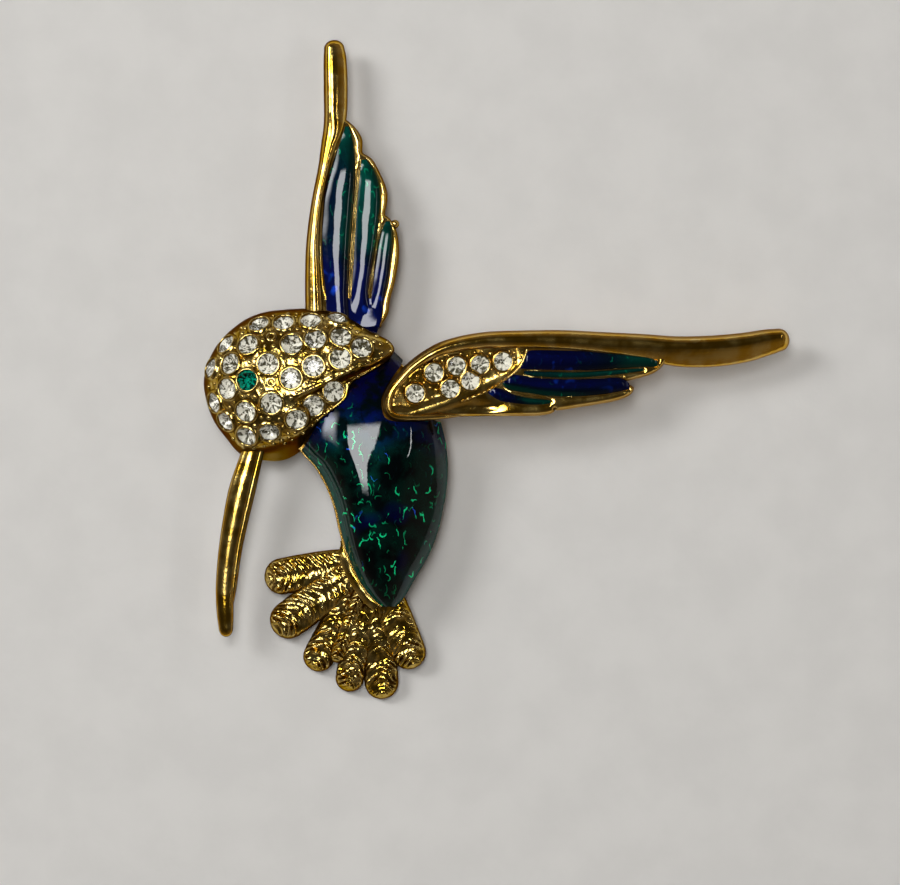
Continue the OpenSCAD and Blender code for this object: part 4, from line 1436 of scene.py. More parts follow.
@dataclass
class Body:
    """The enamelled body on its metal bed."""

    plan: Plan
    rim: float = 0.12
    enamel: float = 0.55
    # How full its section is, and how much fuller near the neck
    fullness: float = 2.5
    neck_fullness: float = 0.3
    # Share of the way along, and the crest's x
    ridge: Table = ((0.0, -12.4), (0.2, -12.6), (0.45, -13.3), (0.62, -12.9), (0.8, -12.0), (1.0, -10.9))
    # Along, reach to the left, reach to the right, height
    rows: Table = (
        (0.0, 0.24, 0.03, 0.36), (0.05, 0.36, 0.12, 0.5), (0.12, 0.47, 0.23, 0.64),
        (0.19, 0.55, 0.3, 0.78), (0.27, 0.6, 0.35, 0.89), (0.35, 0.615, 0.385, 0.955),
        (0.4, 0.56, 0.397, 0.99), (0.45, 0.48, 0.402, 1.0), (0.52, 0.41, 0.396, 0.98),
        (0.6, 0.355, 0.375, 0.94), (0.7, 0.315, 0.335, 0.86), (0.79, 0.27, 0.275, 0.74),
        (0.88, 0.2, 0.185, 0.57), (0.95, 0.115, 0.115, 0.38), (0.99, 0.04, 0.055, 0.22))

    def point(self, t: Array, u: Array, grow: float, drop: float, lift: float) -> Array:
        """A point of the body's surface.

        Args:
            t: Share of the way from neck to tip.
            u: From -1 at the left edge to 1 at the right.
            grow: How far the edges are moved out.
            drop: How far the dome is lowered, down to its edge.
            lift: How far all of it is raised.

        Returns:
            The point.
        """
        t, u = np.broadcast_arrays(np.asarray(t, float), np.asarray(u, float))
        r = curve(self.rows, t * (len(self.rows) - 1))
        left = self.plan.neck[0] - self.plan.body_w * r[..., 1] - grow
        right = self.plan.neck[0] + self.plan.body_w * r[..., 2] + grow
        x = (left + right) / 2 + u * (right - left) / 2
        crest = smoothed(self.ridge, 60)
        ridge = np.interp(t, crest[:, 0], crest[:, 1])
        peak = np.clip((ridge - (left + right) / 2) / (right - left) * 2, -0.4, 0.4)
        w = u - peak / (1 - peak * peak) * (1 - u * u)
        power = self.fullness + self.neck_fullness * (1 - ramp((t - 0.24) / 0.16))
        rise = np.sqrt(np.maximum(0, 1 - np.abs(w) ** power))
        z = self.plan.edge_z + lift + np.maximum(0, self.plan.body_h * r[..., 3] * rise - drop)
        return np.stack([x, self.plan.neck[1] - r[..., 0] * self.plan.body_len, z], -1)

    def sheet(self, steps: int, across: int, grow: float, drop: float, lift: float) -> Array:
        """The body's surface as a grid, from right to left.

        Args:
            steps: Steps along the body.
            across: Steps across it.
            grow: How far the edges are moved out.
            drop: How far the dome is lowered.
            lift: How far all of it is raised.

        Returns:
            The grid.
        """
        t = np.linspace(0, 1, steps + 1)[:, None]
        u = np.cos(np.linspace(0, math.pi, across + 1))[None]
        return self.point(t, u, grow, drop, lift)

    def shell(self, enamel: Material, cutters: Sequence[Piece]) -> None:
        """Makes the enamel, cut clear of the head and of the wing's root.

        Args:
            enamel: Its material.
            cutters: The columns that it is cut with.
        """
        steps, across = 150, 110
        made = Solid()
        top = self.sheet(steps, across, 0, 0, self.plan.gap)
        t = np.linspace(0, 1, steps + 1)
        inner = np.minimum(ramp(t * 8), ramp(np.linspace(1, 0, steps + 1) * 8))
        top[..., 2] += 0.03 * ripple(top, 3.5) * inner[:, None] * np.sin(np.linspace(0, math.pi, across + 1))
        made.slab(top, self.sheet(steps, across, -self.enamel, self.enamel, self.plan.gap))
        whole = made.piece("body_shell", [enamel], 50)
        dressed(carved(whole, cutters, Carving.CUT), Slot.BODY, "body_enamel")

    def bed(self, gold: Material) -> None:
        """Makes the metal under the enamel, its rim and its hollow back.

        Args:
            gold: The metal.
        """
        steps, across = 110, 60
        t = np.linspace(0, 1, steps + 1)
        gap = self.enamel + self.plan.gap
        bed = self.sheet(steps, across, -gap, self.enamel, 0)
        # Behind the near wing's root the right edge stays well inside the enamel
        inset = 0.04 + 0.5 * (1 - ramp((t - 0.28) / 0.04))
        right = self.point(t, 1, -inset, self.plan.body_h, 0)
        left = self.point(t, -1, self.rim, self.plan.body_h, 0)
        half = np.maximum(0.2, (right[:, 0] - left[:, 0]) / 2 - self.plan.wall)
        tall = curve(self.rows, t * (len(self.rows) - 1))[:, 3]
        deep = np.maximum(0, self.plan.edge_h + self.plan.body_h * tall - self.enamel - self.plan.wall)
        ends = ramp(np.minimum(t, 1 - t) * 6) * ramp(half - 0.2)
        u = np.cos(np.linspace(0, math.pi, across + 1))
        hollow = np.stack([
            ((right[:, 0] + left[:, 0]) / 2)[:, None] + u * half[:, None],
            np.repeat(right[:, 1:2], across + 1, 1),
            self.plan.back_z + (deep * ends)[:, None] * np.sqrt(1 - u * u)], -1)
        low = [edge * [1, 1, 0] + [0, 0, self.plan.back_z] for edge in (right, left)]
        made = Solid()
        made.slab(
            np.concatenate([right[:, None], bed, left[:, None]], 1),
            np.concatenate([low[0][:, None], hollow, low[1][:, None]], 1))
        bar = np.tile([self.plan.edge_z - 0.03, 0.10, 0.10, 0.2], (len(left), 1))
        made.skin(rod_rings(np.column_stack([left[:, :2], bar]), 14))
        gilded(made, "body_bed", gold)


@dataclass
class Tail:
    """Seven overlapping barbed feathers and the collar that holds them."""

    plan: Plan
    body: Body
    length: float = 14.25
    width: float = 3.7
    barb: float = 0.2
    # How far apart the barbs are, and how far they sweep back
    spacing: float = 0.66
    sweep: float = 0.85
    groove: float = 0.14
    # The point that the feathers spread from, in shares of the body's width and length from the neck
    root: tuple[float, float] = (0.107, 0.81)
    # Angle from +X, reach, width and lift
    feathers: Table = (
        (191, 0.78, 0.96, 0.0), (216, 0.87, 1.0, 0.12), (241, 0.9, 0.84, 0.0),
        (250, 0.78, 0.42, 0.24), (259, 0.96, 0.76, 0.1), (274, 0.999, 0.9, 0.0),
        (291, 0.83, 0.92, 0.14))
    # Along and half width, with the round end left off
    shape: Table = (
        (0.06, 0.34), (0.2, 0.42), (0.35, 0.48), (0.5, 0.51), (0.65, 0.52), (0.8, 0.52), (1.0, 0.49))

    def feather(self, target: Solid, angle: float, reach: float, width: float, lift: float) -> None:
        """Adds one feather.

        Args:
            target: The metal that gets it.
            angle: Its direction in degrees.
            reach: Its length.
            width: Its width.
            lift: How far it is raised.
        """
        rows = smoothed(self.shape, 170)
        x = (rows[:, 0] * reach)[:, None]
        end = np.clip(1 - (reach - x) / (0.52 * width), 0, 1)
        round_off = np.sqrt(np.maximum(1 - end**2.3, 0.0004))
        half = (rows[:, 1] * width)[:, None] * round_off
        a = np.linspace(0, 2 * math.pi, 64, endpoint=False)[None]
        f = np.sign(np.cos(a)) * np.abs(np.cos(a)) ** 0.8
        up = np.sin(a)
        base = self.plan.edge_z - self.plan.feather_t - 0.2
        under = base * (1 - x / self.length) + lift
        t = self.plan.feather_t
        flat = np.stack([x + 0 * f, half * f, 0 * x * f], -1)
        sway = ripple(flat, 1.1, int(angle))
        groove = self.groove * np.exp(-((f / 0.11) ** 2)) * ramp((0.9 - rows[:, :1]) / 0.1)
        crest = t * (0.26 + 0.70 * np.abs(up) ** 0.55) * (0.45 + 0.55 * round_off) - groove
        phase = (x - self.sweep * half * np.abs(f) + 0.30 * sway) / (self.spacing + 0.08 * math.sin(angle))
        ridge = np.abs(np.sin(math.pi * phase)) ** 0.8 - 0.5
        window = ramp((rows[:, :1] - 0.14) / 0.1) * (1 + 0.9 * ramp((rows[:, :1] - 0.68) / 0.2))
        uneven = 0.8 + 1.0 * ripple(flat + 9, 0.6, int(angle) + 1)
        barbs = self.barb * ridge * uneven * window * ramp((1 - np.abs(f)) / 0.16) * ramp(np.abs(f) / 0.12)
        top = under + crest + barbs * ramp((0.985 - rows[:, :1]) / 0.04) + 0.08 * sway
        top = top + 0.04 * ripple(flat + 5, 0.6, int(angle))
        bottom = under + 0.2 * f * f + 0.45 * t * (1 - np.abs(up) ** 0.6)
        z = np.where(up >= 0, top, np.minimum(bottom, top))
        x, y = flat[..., 0], flat[..., 1]
        c, s = math.cos(math.radians(angle)), math.sin(math.radians(angle))
        at = self.plan.neck - np.array(self.root) * [self.plan.body_w, self.plan.body_len]
        target.skin(np.stack([at[0] + x * c - y * s, at[1] + x * s + y * c, z], -1))

    def build(self, gold: Material) -> None:
        """Makes the feathers and the collar of the metal."""
        for k, (angle, reach, width, lift) in enumerate(self.feathers):
            made = Solid()
            self.feather(made, angle, reach * self.length, width * self.width, lift * self.plan.feather_t)
            gilded(made, f"tail_feather_{k + 1}", gold, 55)
        n = 40
        half = self.plan.feather_t / 4
        p = self.body.point(np.linspace(0.74, 1, n), -1, self.body.rim, self.plan.body_h, 0)
        z = self.plan.edge_z - 0.8 * half
        full = 0.25 + 0.60 * ramp(np.linspace(0, 4, n))
        bar = np.tile([z, 1.4 * half, 0.8 * half, half, 0.3], (n, 1))
        bar[:, 1:4] *= full[:, None]
        rings = rod_rings(np.column_stack([p[:, 0] - half * full, p[:, 1] - 0.1, bar]), 28)
        collar = Solid()
        collar.skin(rings + 0.07 * ripple(rings, 0.7)[..., None] * np.array([1, 0, 1]))
        gilded(collar, "tail_collar", gold, 60)


@dataclass
class Wing:
    """What both wings share: a plate, a round leading edge, cells of enamel and the wires round them.

    Every table is in shares of the wing's length and chord. A wing's own frame is that of its flat
    plate, before it is turned into place.
    """

    plan: Plan
    length: float = 0
    chord: float = 0
    plate_t: float = 1.6
    spar_w: float = 3.0
    spar_h: float = 2.2
    cell_depth: float = 0.6
    crest: float = 0.0
    spread: float = 0.06
    band: float = 0.16
    tip: float = 1.0
    # Where the rod's top leans, and how much
    lean: Table = ((0.0, 1.0), (0.0, 0.0))
    # How far from each cell's outer and inner ends its enamel is full, the height of its crown, and
    # how far it rises against its later edge
    fades: tuple[float, ...] = (0.7, 0.7, 0.7, 0.7)
    roots: tuple[float, ...] = (0.7, 0.7, 0.7, 0.7)
    crowns: tuple[float, ...] = (0.22, 0.22, 0.22, 0.22)
    pools: tuple[float, ...] = (0.0, 0.0, 0.0, 0.0)
    # Along and across
    plate: Table = ()
    # Along, across, width and height
    spar: Table = ()
    # For each cell: along, and across at either edge
    cells: tuple[Table, ...] = ()
    # For each cell: share of the way along it, and how green it is at either edge
    shades: tuple[Table, ...] = ()
    # Which way its length and its chord run in its own frame
    ways: Table = ((1, 0), (0, 1))
    # Wires on the plate: the cell before each, where it starts and where it ends
    seams: Table = ()
    wire_half: float = 0.06
    wire_rise: float = 0.16

    def sized(self, rows: Sequence, columns: int = 1) -> Array:
        """A table's shares turned into millimetres.

        Args:
            rows: The table, with the share along first.
            columns: How many of the next columns are shares of the chord.

        Returns:
            The table.
        """
        made = np.array(rows, float)
        made[:, 0] *= self.length
        made[:, 1:1 + columns] *= self.chord
        return made

    def laid(self, along: Array, across: Array) -> Array:
        """Turns places along and across the wing into x and y of its own frame."""
        return np.stack([along, across], -1) @ np.array(self.ways)

    def unlaid(self, xy: Array) -> tuple[Array, Array]:
        """Turns x and y of the wing's own frame into places along and across it."""
        along, across = self.ways
        return xy @ along, xy @ across

    def turn(self) -> tuple[Array, Array]:
        """The rotation and the move that put the wing in place."""
        raise NotImplementedError

    def field(self, cell: Sequence) -> Array:
        """The outline of one enamel field, which spreads a little over its cell.

        Args:
            cell: The cell's rows.

        Returns:
            The outline, finely drawn, in the wing's own frame.
        """
        rows = self.sized(smoothed(cell, 120), 2)
        low = self.laid(rows[:, 0], rows[:, 1] - self.spread)
        high = self.laid(rows[:, 0], rows[:, 2] + self.spread)
        return dense(np.concatenate([low, high[::-1]]), 0.1)

    def relief(self, xy: Array) -> Array:
        """How far the plate's upper side rises or dips apart from its edges and cells."""
        return np.zeros(len(xy))

    def outline(self) -> Array:
        """The plate's outline in the wing's own frame."""
        table = self.sized(self.plate)
        fine = curve(table, np.arange(0, len(table), 0.1), closed=True)
        return dense(self.laid(fine[:, 0], fine[:, 1]), 0.12)

    def top(self, xy: Array, outline: Array) -> Array:
        """Height of the plate's upper side: a rounded band round the enamel, and room for it.

        Args:
            xy: Points of the wing's own frame.
            outline: The plate's outline.

        Returns:
            A height for each point.
        """
        edge = distance_to(xy, outline)
        well = np.zeros(len(xy))
        beside_cell = np.full(len(xy), 9.0)
        for cell in self.cells:
            line = self.field(cell)
            away = distance_to(xy, line)
            inside = within(xy, line)
            well = np.maximum(well, np.where(inside, away, 0))
            beside_cell = np.minimum(beside_cell, np.where(inside, 0, away))
        width = np.maximum(beside_cell + edge, 1e-6)
        swell = 4 * beside_cell * edge / width**2 * (1 - ramp((width - 1.2) / 0.8))
        z = self.plate_t - 0.36 * (1 - ramp(edge / 0.36)) + self.band * swell + self.relief(xy)
        return z - self.cell_depth * np.clip(well / 0.12, 0, 1)

    def rims(self) -> Array:
        """Points along the plate's edge and its cells, where its relief turns."""
        edge = beside(self.outline(), (0.07, 0.16, 0.26, 0.38))
        return np.concatenate([edge, *(beside(self.field(cell), (0.0, 0.07, 0.14)) for cell in self.cells)])

    def metal(self) -> Solid:
        """The plate and its leading edge, in the wing's own frame.

        Returns:
            The metal.
        """
        outline = self.outline()
        made = Solid()
        made.filled(outline, 0.2, self.rims(), lambda xy: self.top(xy, outline), lambda xy: 0 * xy[:, 0])
        spar = smoothed(self.sized(self.spar), 180)
        xy = self.laid(spar[:, 0], spar[:, 1])
        tall = self.spar_h * spar[:, 3]
        wide = self.spar_w / 2 * spar[:, 2]
        lean = np.interp(spar[:, 0] / self.length, *self.lean)
        path = np.column_stack([xy, 0.4 * tall, wide, 0.6 * tall, 0.4 * tall, lean])
        made.skin(rod_rings(capped(path, self.tip), 52, power=0.72))
        return made

    def wires(self, target: Solid) -> None:
        """Adds the thin wires between the cells to the metal."""
        for k, start, end in self.seams:
            path = smoothed(self.seam(k, start, end), 90)
            xy = self.laid(path[:, 0], path[:, 1])
            thin = 0.3 + 0.7 * np.minimum(1, np.sin(np.linspace(0.1, math.pi - 0.1, len(xy))) * 2.5)
            sunk = np.full(len(xy), 0.2)
            sizes = [self.wire_half * thin, (self.wire_rise + 0.2) * thin, sunk]
            target.skin(rod_rings(np.column_stack([xy, self.plate_t - sunk, *sizes]), 14))

    def seam(self, k: int, start: float, end: float) -> Array:
        """The line between one enamel cell and the next.

        Args:
            k: The first cell.
            start: Share of the wing's length where the line starts.
            end: Share where it ends.

        Returns:
            Its places along and across, in millimetres.
        """
        one, other = (self.sized(smoothed(self.cells[k + j], 60), 2) for j in (0, 1))
        along = np.linspace(start, end, 16) * self.length
        low = np.interp(along, one[:, 0], one[:, 2])
        high = np.interp(along, other[:, 0], other[:, 1])
        past = along > min(one[-1, 0], other[-1, 0])
        return np.column_stack([along, np.where(past, low + 0.05, (low + high) / 2)])

    def strip(self, k: int) -> Solid:
        """One crowned field of enamel, in the wing's own frame.

        Args:
            k: Its cell.

        Returns:
            The enamel.
        """
        rows = self.sized(smoothed(self.cells[k], 110), 2)
        f = (1 - np.cos(np.linspace(0, math.pi, 25)))[None] / 2
        low, high = rows[:, 1:2] - self.spread, rows[:, 2:3] + self.spread
        across = low + f * (high - low)
        along = rows[:, :1] + 0 * f
        ends = ramp((along - rows[0, 0]) / self.roots[k]) * ramp((rows[-1, 0] - along) / self.fades[k])
        v = 2 * f - 1
        slope = np.abs(v - self.crest) / np.where(v < self.crest, 1 + self.crest, 1 - self.crest)
        rise = self.crowns[k] * (1 - slope**2.2) * np.minimum(1, (high - low) / 1.6) * ends
        rise = rise + self.pools[k] * ramp((v - 0.2) / 0.8) * ends
        xy = self.laid(along, across)
        flat = np.full_like(along, self.plate_t - self.cell_depth + self.plan.gap)
        top = np.concatenate([xy, (self.plate_t + rise - 0.05)[..., None]], -1)
        top[..., 2] += 0.012 * ripple(top, 1.6) * ends
        made = Solid()
        made.slab(top, np.concatenate([xy, flat[..., None]], -1))
        return made

    def tinted(self, piece: Piece) -> Piece:
        """Marks how green the enamel is at each point.

        Args:
            piece: The enamel, in place.

        Returns:
            The piece.
        """
        spots = np.array([v.co for v in piece.data.vertices]) / MM
        turn, by = self.turn()
        along, across = self.unlaid(((spots - by) @ turn)[:, :2])
        green = np.zeros(len(spots))
        nearest = np.full(len(spots), 1e9)
        for cell, shades in zip(self.cells, self.shades):
            rows = self.sized(smoothed(cell, 60), 2)
            low = np.interp(along, rows[:, 0], rows[:, 1])
            high = np.interp(along, rows[:, 0], rows[:, 2])
            share = (along - rows[0, 0]) / (rows[-1, 0] - rows[0, 0])
            past = 9 * np.maximum(0, np.abs(share - 0.5) - 0.52)
            off = np.abs(across - (low + high) / 2) - (high - low) / 2 + past
            table = np.array(shades)
            upper, lower = (np.interp(share, table[:, 0], table[:, k]) for k in (1, 2))
            f = ramp((across - low) / np.maximum(high - low, 0.1) * 1.6 - 0.5)
            green = np.where(off < nearest, upper + (lower - upper) * f, green)
            nearest = np.minimum(off, nearest)
        return marked(piece, "green", Domain.POINT, green)

    def placed(self, made: Solid) -> Solid:
        """Puts a solid of the wing's own frame in place."""
        return made.moved(*self.turn())


@dataclass
class NearWing(Wing):
    """The wing that stretches to the right, with stones at its root."""

    length: float = 41
    chord: float = 8.95
    seat: float = 0.64
    tilt: float = 7.5
    roll: float = 5
    root: float = 0.635
    # Where it stands, in shares of the body's width and length from the neck
    stand: tuple[float, float] = (0.033, 0.145)
    tip: float = 1.05
    ways: Table = ((1, 0), (0, -1))
    lean: Table = ((0.0, 0.55, 0.72, 1.0), (0.0, 0.0, 0.42, 0.42))
    seams: Table = ((0, 0.345, 0.648), (1, 0.335, 0.600), (2, 0.29, 0.46))
    stone: Stone = Stone(1.85)
    grains: Grains = Grains(34, 0.12, (0.13, 0.26), (0.1, 0.4), 0.8)
    plate: Table = (
        (0.01, 0.84), (0.015, 0.68), (0.037, 0.54), (0.066, 0.42), (0.115, 0.27), (0.177, 0.16),
        (0.238, 0.1), (0.337, 0.09), (0.435, 0.1), (0.533, 0.11), (0.631, 0.13), (0.685, 0.17),
        (0.7, 0.26), (0.676, 0.41), (0.656, 0.47), (0.631, 0.51), (0.597, 0.55), (0.585, 0.57),
        (0.605, 0.6), (0.612, 0.64), (0.602, 0.71), (0.57, 0.77), (0.526, 0.81), (0.472, 0.85),
        (0.425, 0.88), (0.417, 0.86), (0.417, 0.89), (0.405, 0.92), (0.373, 0.94), (0.287, 0.945),
        (0.201, 0.95), (0.128, 0.96), (0.054, 0.97), (0.02, 0.95), (0.008, 0.89))
    spar: Table = (
        (0.205, 0.93, 0.06, 0.5), (0.15, 0.942, 0.2, 0.86), (0.09, 0.955, 0.26, 0.95),
        (0.03, 0.945, 0.28, 1.0), (0.01, 0.86, 0.3, 1.0), (0.014, 0.7, 0.3, 1.0),
        (0.04, 0.53, 0.3, 1.0),
        (0.08, 0.35, 0.34, 1.0), (0.145, 0.19, 0.44, 1.0), (0.235, 0.11, 0.54, 1.0),
        (0.335, 0.095, 0.6, 1.0), (0.435, 0.1, 0.66, 1.0), (0.535, 0.13, 0.72, 1.0),
        (0.635, 0.17, 0.84, 1.0), (0.715, 0.22, 1.0, 1.0), (0.8, 0.22, 1.05, 1.0),
        (0.88, 0.18, 1.0, 0.98), (0.94, 0.12, 0.88, 0.95), (0.972, 0.09, 0.76, 0.92))
    ridge: Table = ((0.346, 0.20), (0.330, 0.38), (0.292, 0.54), (0.250, 0.66), (0.185, 0.78))
    cells: tuple[Table, ...] = (
        ((0.331, 0.36, 0.405), (0.342, 0.26, 0.41), (0.354, 0.22, 0.415), (0.398, 0.215, 0.42),
         (0.474, 0.222, 0.424), (0.533, 0.23, 0.415), (0.58, 0.24, 0.398), (0.631, 0.258, 0.384),
         (0.656, 0.28, 0.382), (0.668, 0.325, 0.375)),
        ((0.34, 0.444, 0.46), (0.36, 0.447, 0.487), (0.4, 0.452, 0.502), (0.45, 0.456, 0.508),
         (0.5, 0.45, 0.5), (0.55, 0.436, 0.48), (0.6, 0.42, 0.452), (0.634, 0.412, 0.428)),
        ((0.287, 0.54, 0.578), (0.3, 0.5, 0.63), (0.317, 0.485, 0.655), (0.361, 0.517, 0.685),
         (0.415, 0.535, 0.718), (0.474, 0.536, 0.714), (0.533, 0.525, 0.69), (0.563, 0.515, 0.668),
         (0.582, 0.53, 0.65), (0.599, 0.58, 0.63)),
        ((0.253, 0.652, 0.68), (0.268, 0.63, 0.73), (0.287, 0.65, 0.77), (0.312, 0.7, 0.788),
         (0.344, 0.738, 0.805), (0.373, 0.755, 0.808), (0.398, 0.765, 0.8), (0.406, 0.772, 0.785)))
    shades: tuple[Table, ...] = (
        ((0.0, 0.0, 0.05), (0.35, 0.05, 0.15), (0.6, 0.45, 0.5), (0.85, 0.85, 0.9), (1.0, 1.0, 1.0)),
        ((0.0, 0.55, 0.75), (0.3, 0.8, 0.9), (1.0, 0.95, 0.95)),
        ((0.0, 0.0, 0.95), (0.35, 0.05, 0.9), (0.6, 0.15, 0.7), (0.85, 0.25, 0.35), (1.0, 0.1, 0.1)),
        ((0.0, 0.0, 0.0), (0.3, 0.05, 0.2), (0.6, 0.85, 0.6), (1.0, 1.0, 0.9)))
    bed_edge: Table = (
        (0.061, 0.852), (0.135, 0.74), (0.209, 0.628), (0.258, 0.549), (0.3, 0.45), (0.332, 0.33),
        (0.344, 0.2))
    stones: Table = (
        (0.075, 0.69), (0.12, 0.46), (0.175, 0.385), (0.232, 0.37), (0.288, 0.335), (0.16, 0.64),
        (0.209, 0.55))
    # The outline that the body's enamel is cut back to, and that of the foot
    room: Table = (
        (0.17, 0.13), (0.078, 0.28), (0.04, 0.44), (0.012, 0.6), (-0.004, 0.74), (-0.004, 0.88),
        (0.004, 0.965), (0.022, 1.0), (0.06, 1.01), (0.115, 1.0), (0.17, 0.975))
    foot: Table = (
        (0.062, 0.42), (0.035, 0.56), (0.012, 0.82), (0.016, 0.92), (0.098, 0.92), (0.098, 0.75),
        (0.095, 0.6), (0.075, 0.46))

    def turn(self) -> tuple[Array, Array]:
        """The rotation and the move that put the wing in place."""
        r = rotation((self.tilt, "Y"), (self.roll, "X"))
        x, y = self.plan.neck - np.array(self.stand) * [self.plan.body_w, self.plan.body_len]
        at = np.array([x, y, self.plan.edge_z + self.seat * self.plan.body_h])
        return r, at + r @ np.array([0, self.root * self.chord, 0])

    def relief(self, xy: Array) -> Array:
        """The uneven bed with its seats, the smooth lip below it and the hollow past the ridge."""
        u, v = xy[:, 0] / self.length, -xy[:, 1] / self.chord
        line = smoothed(self.bed_edge, 40)
        below = (v - np.interp(u, line[:, 0], line[:, 1])) * self.chord
        bed = ramp(-below / 0.3) * ramp((0.344 - u) * 40)
        deep = np.column_stack([xy, np.zeros(len(xy))])
        lip = np.clip(below / 1.5, 0, 1)
        z = bed * (0.05 * ripple(deep, 0.8) - 0.12) + 1.1 * lip * (1 - lip) * ramp((0.26 - u) * 9)
        z -= 0.35 * np.exp(-(((u - 0.245) / 0.045) ** 2)) * np.exp(-(((v - 0.845) / 0.06) ** 2))
        room = distance_to(xy, self.stone_places()[:, :2])
        radius = self.stone.across / 2 + 0.08
        return np.where(room < radius, -0.30 - 0.82 * (radius - room), z)

    def rims(self) -> Array:
        """Points where the plate's relief turns, with those round its seats."""
        a = np.linspace(0, 2 * math.pi, 40, endpoint=False)
        ring = np.stack([np.cos(a), np.sin(a)], -1)
        radii = (0.35, 0.65, 0.85, self.stone.across / 2 + 0.06, self.stone.across / 2 + 0.10)
        seats = [p[:2] + r * ring for p in self.stone_places() for r in radii]
        return np.concatenate([super().rims(), *seats])

    def stone_places(self) -> Array:
        """Where the stones sit, in the wing's own frame."""
        rows = self.sized(self.stones)
        return level(self.laid(rows[:, 0], rows[:, 1]), self.plate_t)

    def bed(self) -> Solid:
        """The rings and beads round the stones, in the wing's own frame.

        Returns:
            The metal.
        """
        made = Solid()
        up = np.array([0.0, 0.0, 1.0])
        stones = self.stone_places()
        for p in stones:
            self.stone.setting(made, p, up, 0.08)
        rim = self.sized(smoothed(self.spar, 200))
        lead = self.laid(rim[:, 0], rim[:, 1])
        x, y = np.meshgrid(np.arange(0.5, 14.6, 0.12), np.arange(-8.6, -1.2, 0.12))
        spots = np.column_stack([x.ravel(), y.ravel()])
        line = smoothed(self.bed_edge, 40)
        below = -spots[:, 1] / self.chord - np.interp(spots[:, 0] / self.length, line[:, 0], line[:, 1])
        clear = distance_to(spots, lead) - np.interp(spots[:, 0], rim[15:, 0], rim[15:, 2]) * self.spar_w / 2
        room = np.minimum(distance_to(spots, stones[:, :2]) - self.stone.across / 2 - 0.12, clear - 0.02)
        bare = (below < -0.03) & (spots[:, 0] < 0.335 * self.length) & within(spots, self.outline())
        spots = level(spots, self.plate_t - 0.1)
        self.grains.scatter(made, spots, np.tile(up, (len(spots), 1)), np.where(bare, room, 0))
        return made

    def prism(self, rows: Sequence, low: float, high: float, steps: float) -> Solid:
        """A column through a table's outline.

        Args:
            rows: The outline.
            low: Its lower end in the wing's own frame.
            high: Its upper end.
            steps: Rows of the table between its corners.

        Returns:
            The column.
        """
        table = self.sized(rows)
        fine = curve(table, np.arange(0, len(table), steps), closed=True)
        return Solid().column(self.laid(fine[:, 0], fine[:, 1]), low, high)

    def build(self, gold: Material, enamel: Material, clear: Sequence) -> None:
        """Makes the wing's pieces.

        Args:
            gold: The metal.
            enamel: The enamel.
            clear: The stones' two materials.
        """
        metal = self.metal()
        ridge = smoothed(self.sized(self.ridge), 70)
        xy = self.laid(ridge[:, 0], ridge[:, 1])
        knots = 1 + 0.35 * np.sin(np.arange(len(xy)) * 1.9) * ramp((np.arange(len(xy)) - 25) / 10)
        rows = [level(xy, self.plate_t), 0.13 * knots, 0.26 * knots, np.full(len(xy), 0.4)]
        metal.skin(rod_rings(np.column_stack(rows), 16))
        self.wires(metal)
        gilded(self.placed(metal), "near_wing_metal", gold)
        gilded(self.placed(self.bed()), "near_wing_bed", gold)
        drop = self.seat * self.plan.body_h - 0.1
        gilded(self.placed(self.prism(self.foot, -drop, 0.4, 0.1)), "near_wing_foot", gold)
        for k in range(len(self.cells)):
            strip = self.placed(self.strip(k)).piece(f"near_wing_strip_{k + 1}", [enamel], 50)
            dressed(self.tinted(strip), Slot.WING, f"near_wing_enamel_{k + 1}")
        turn, by = self.turn()
        for k, p in enumerate(self.stone_places()):
            at = turn @ (p + [0, 0, self.stone.lift]) + by
            self.stone.build(at, turn[:, 2], 50 + k, f"wing_stone_{k + 1}", Slot.CRYSTAL, clear)


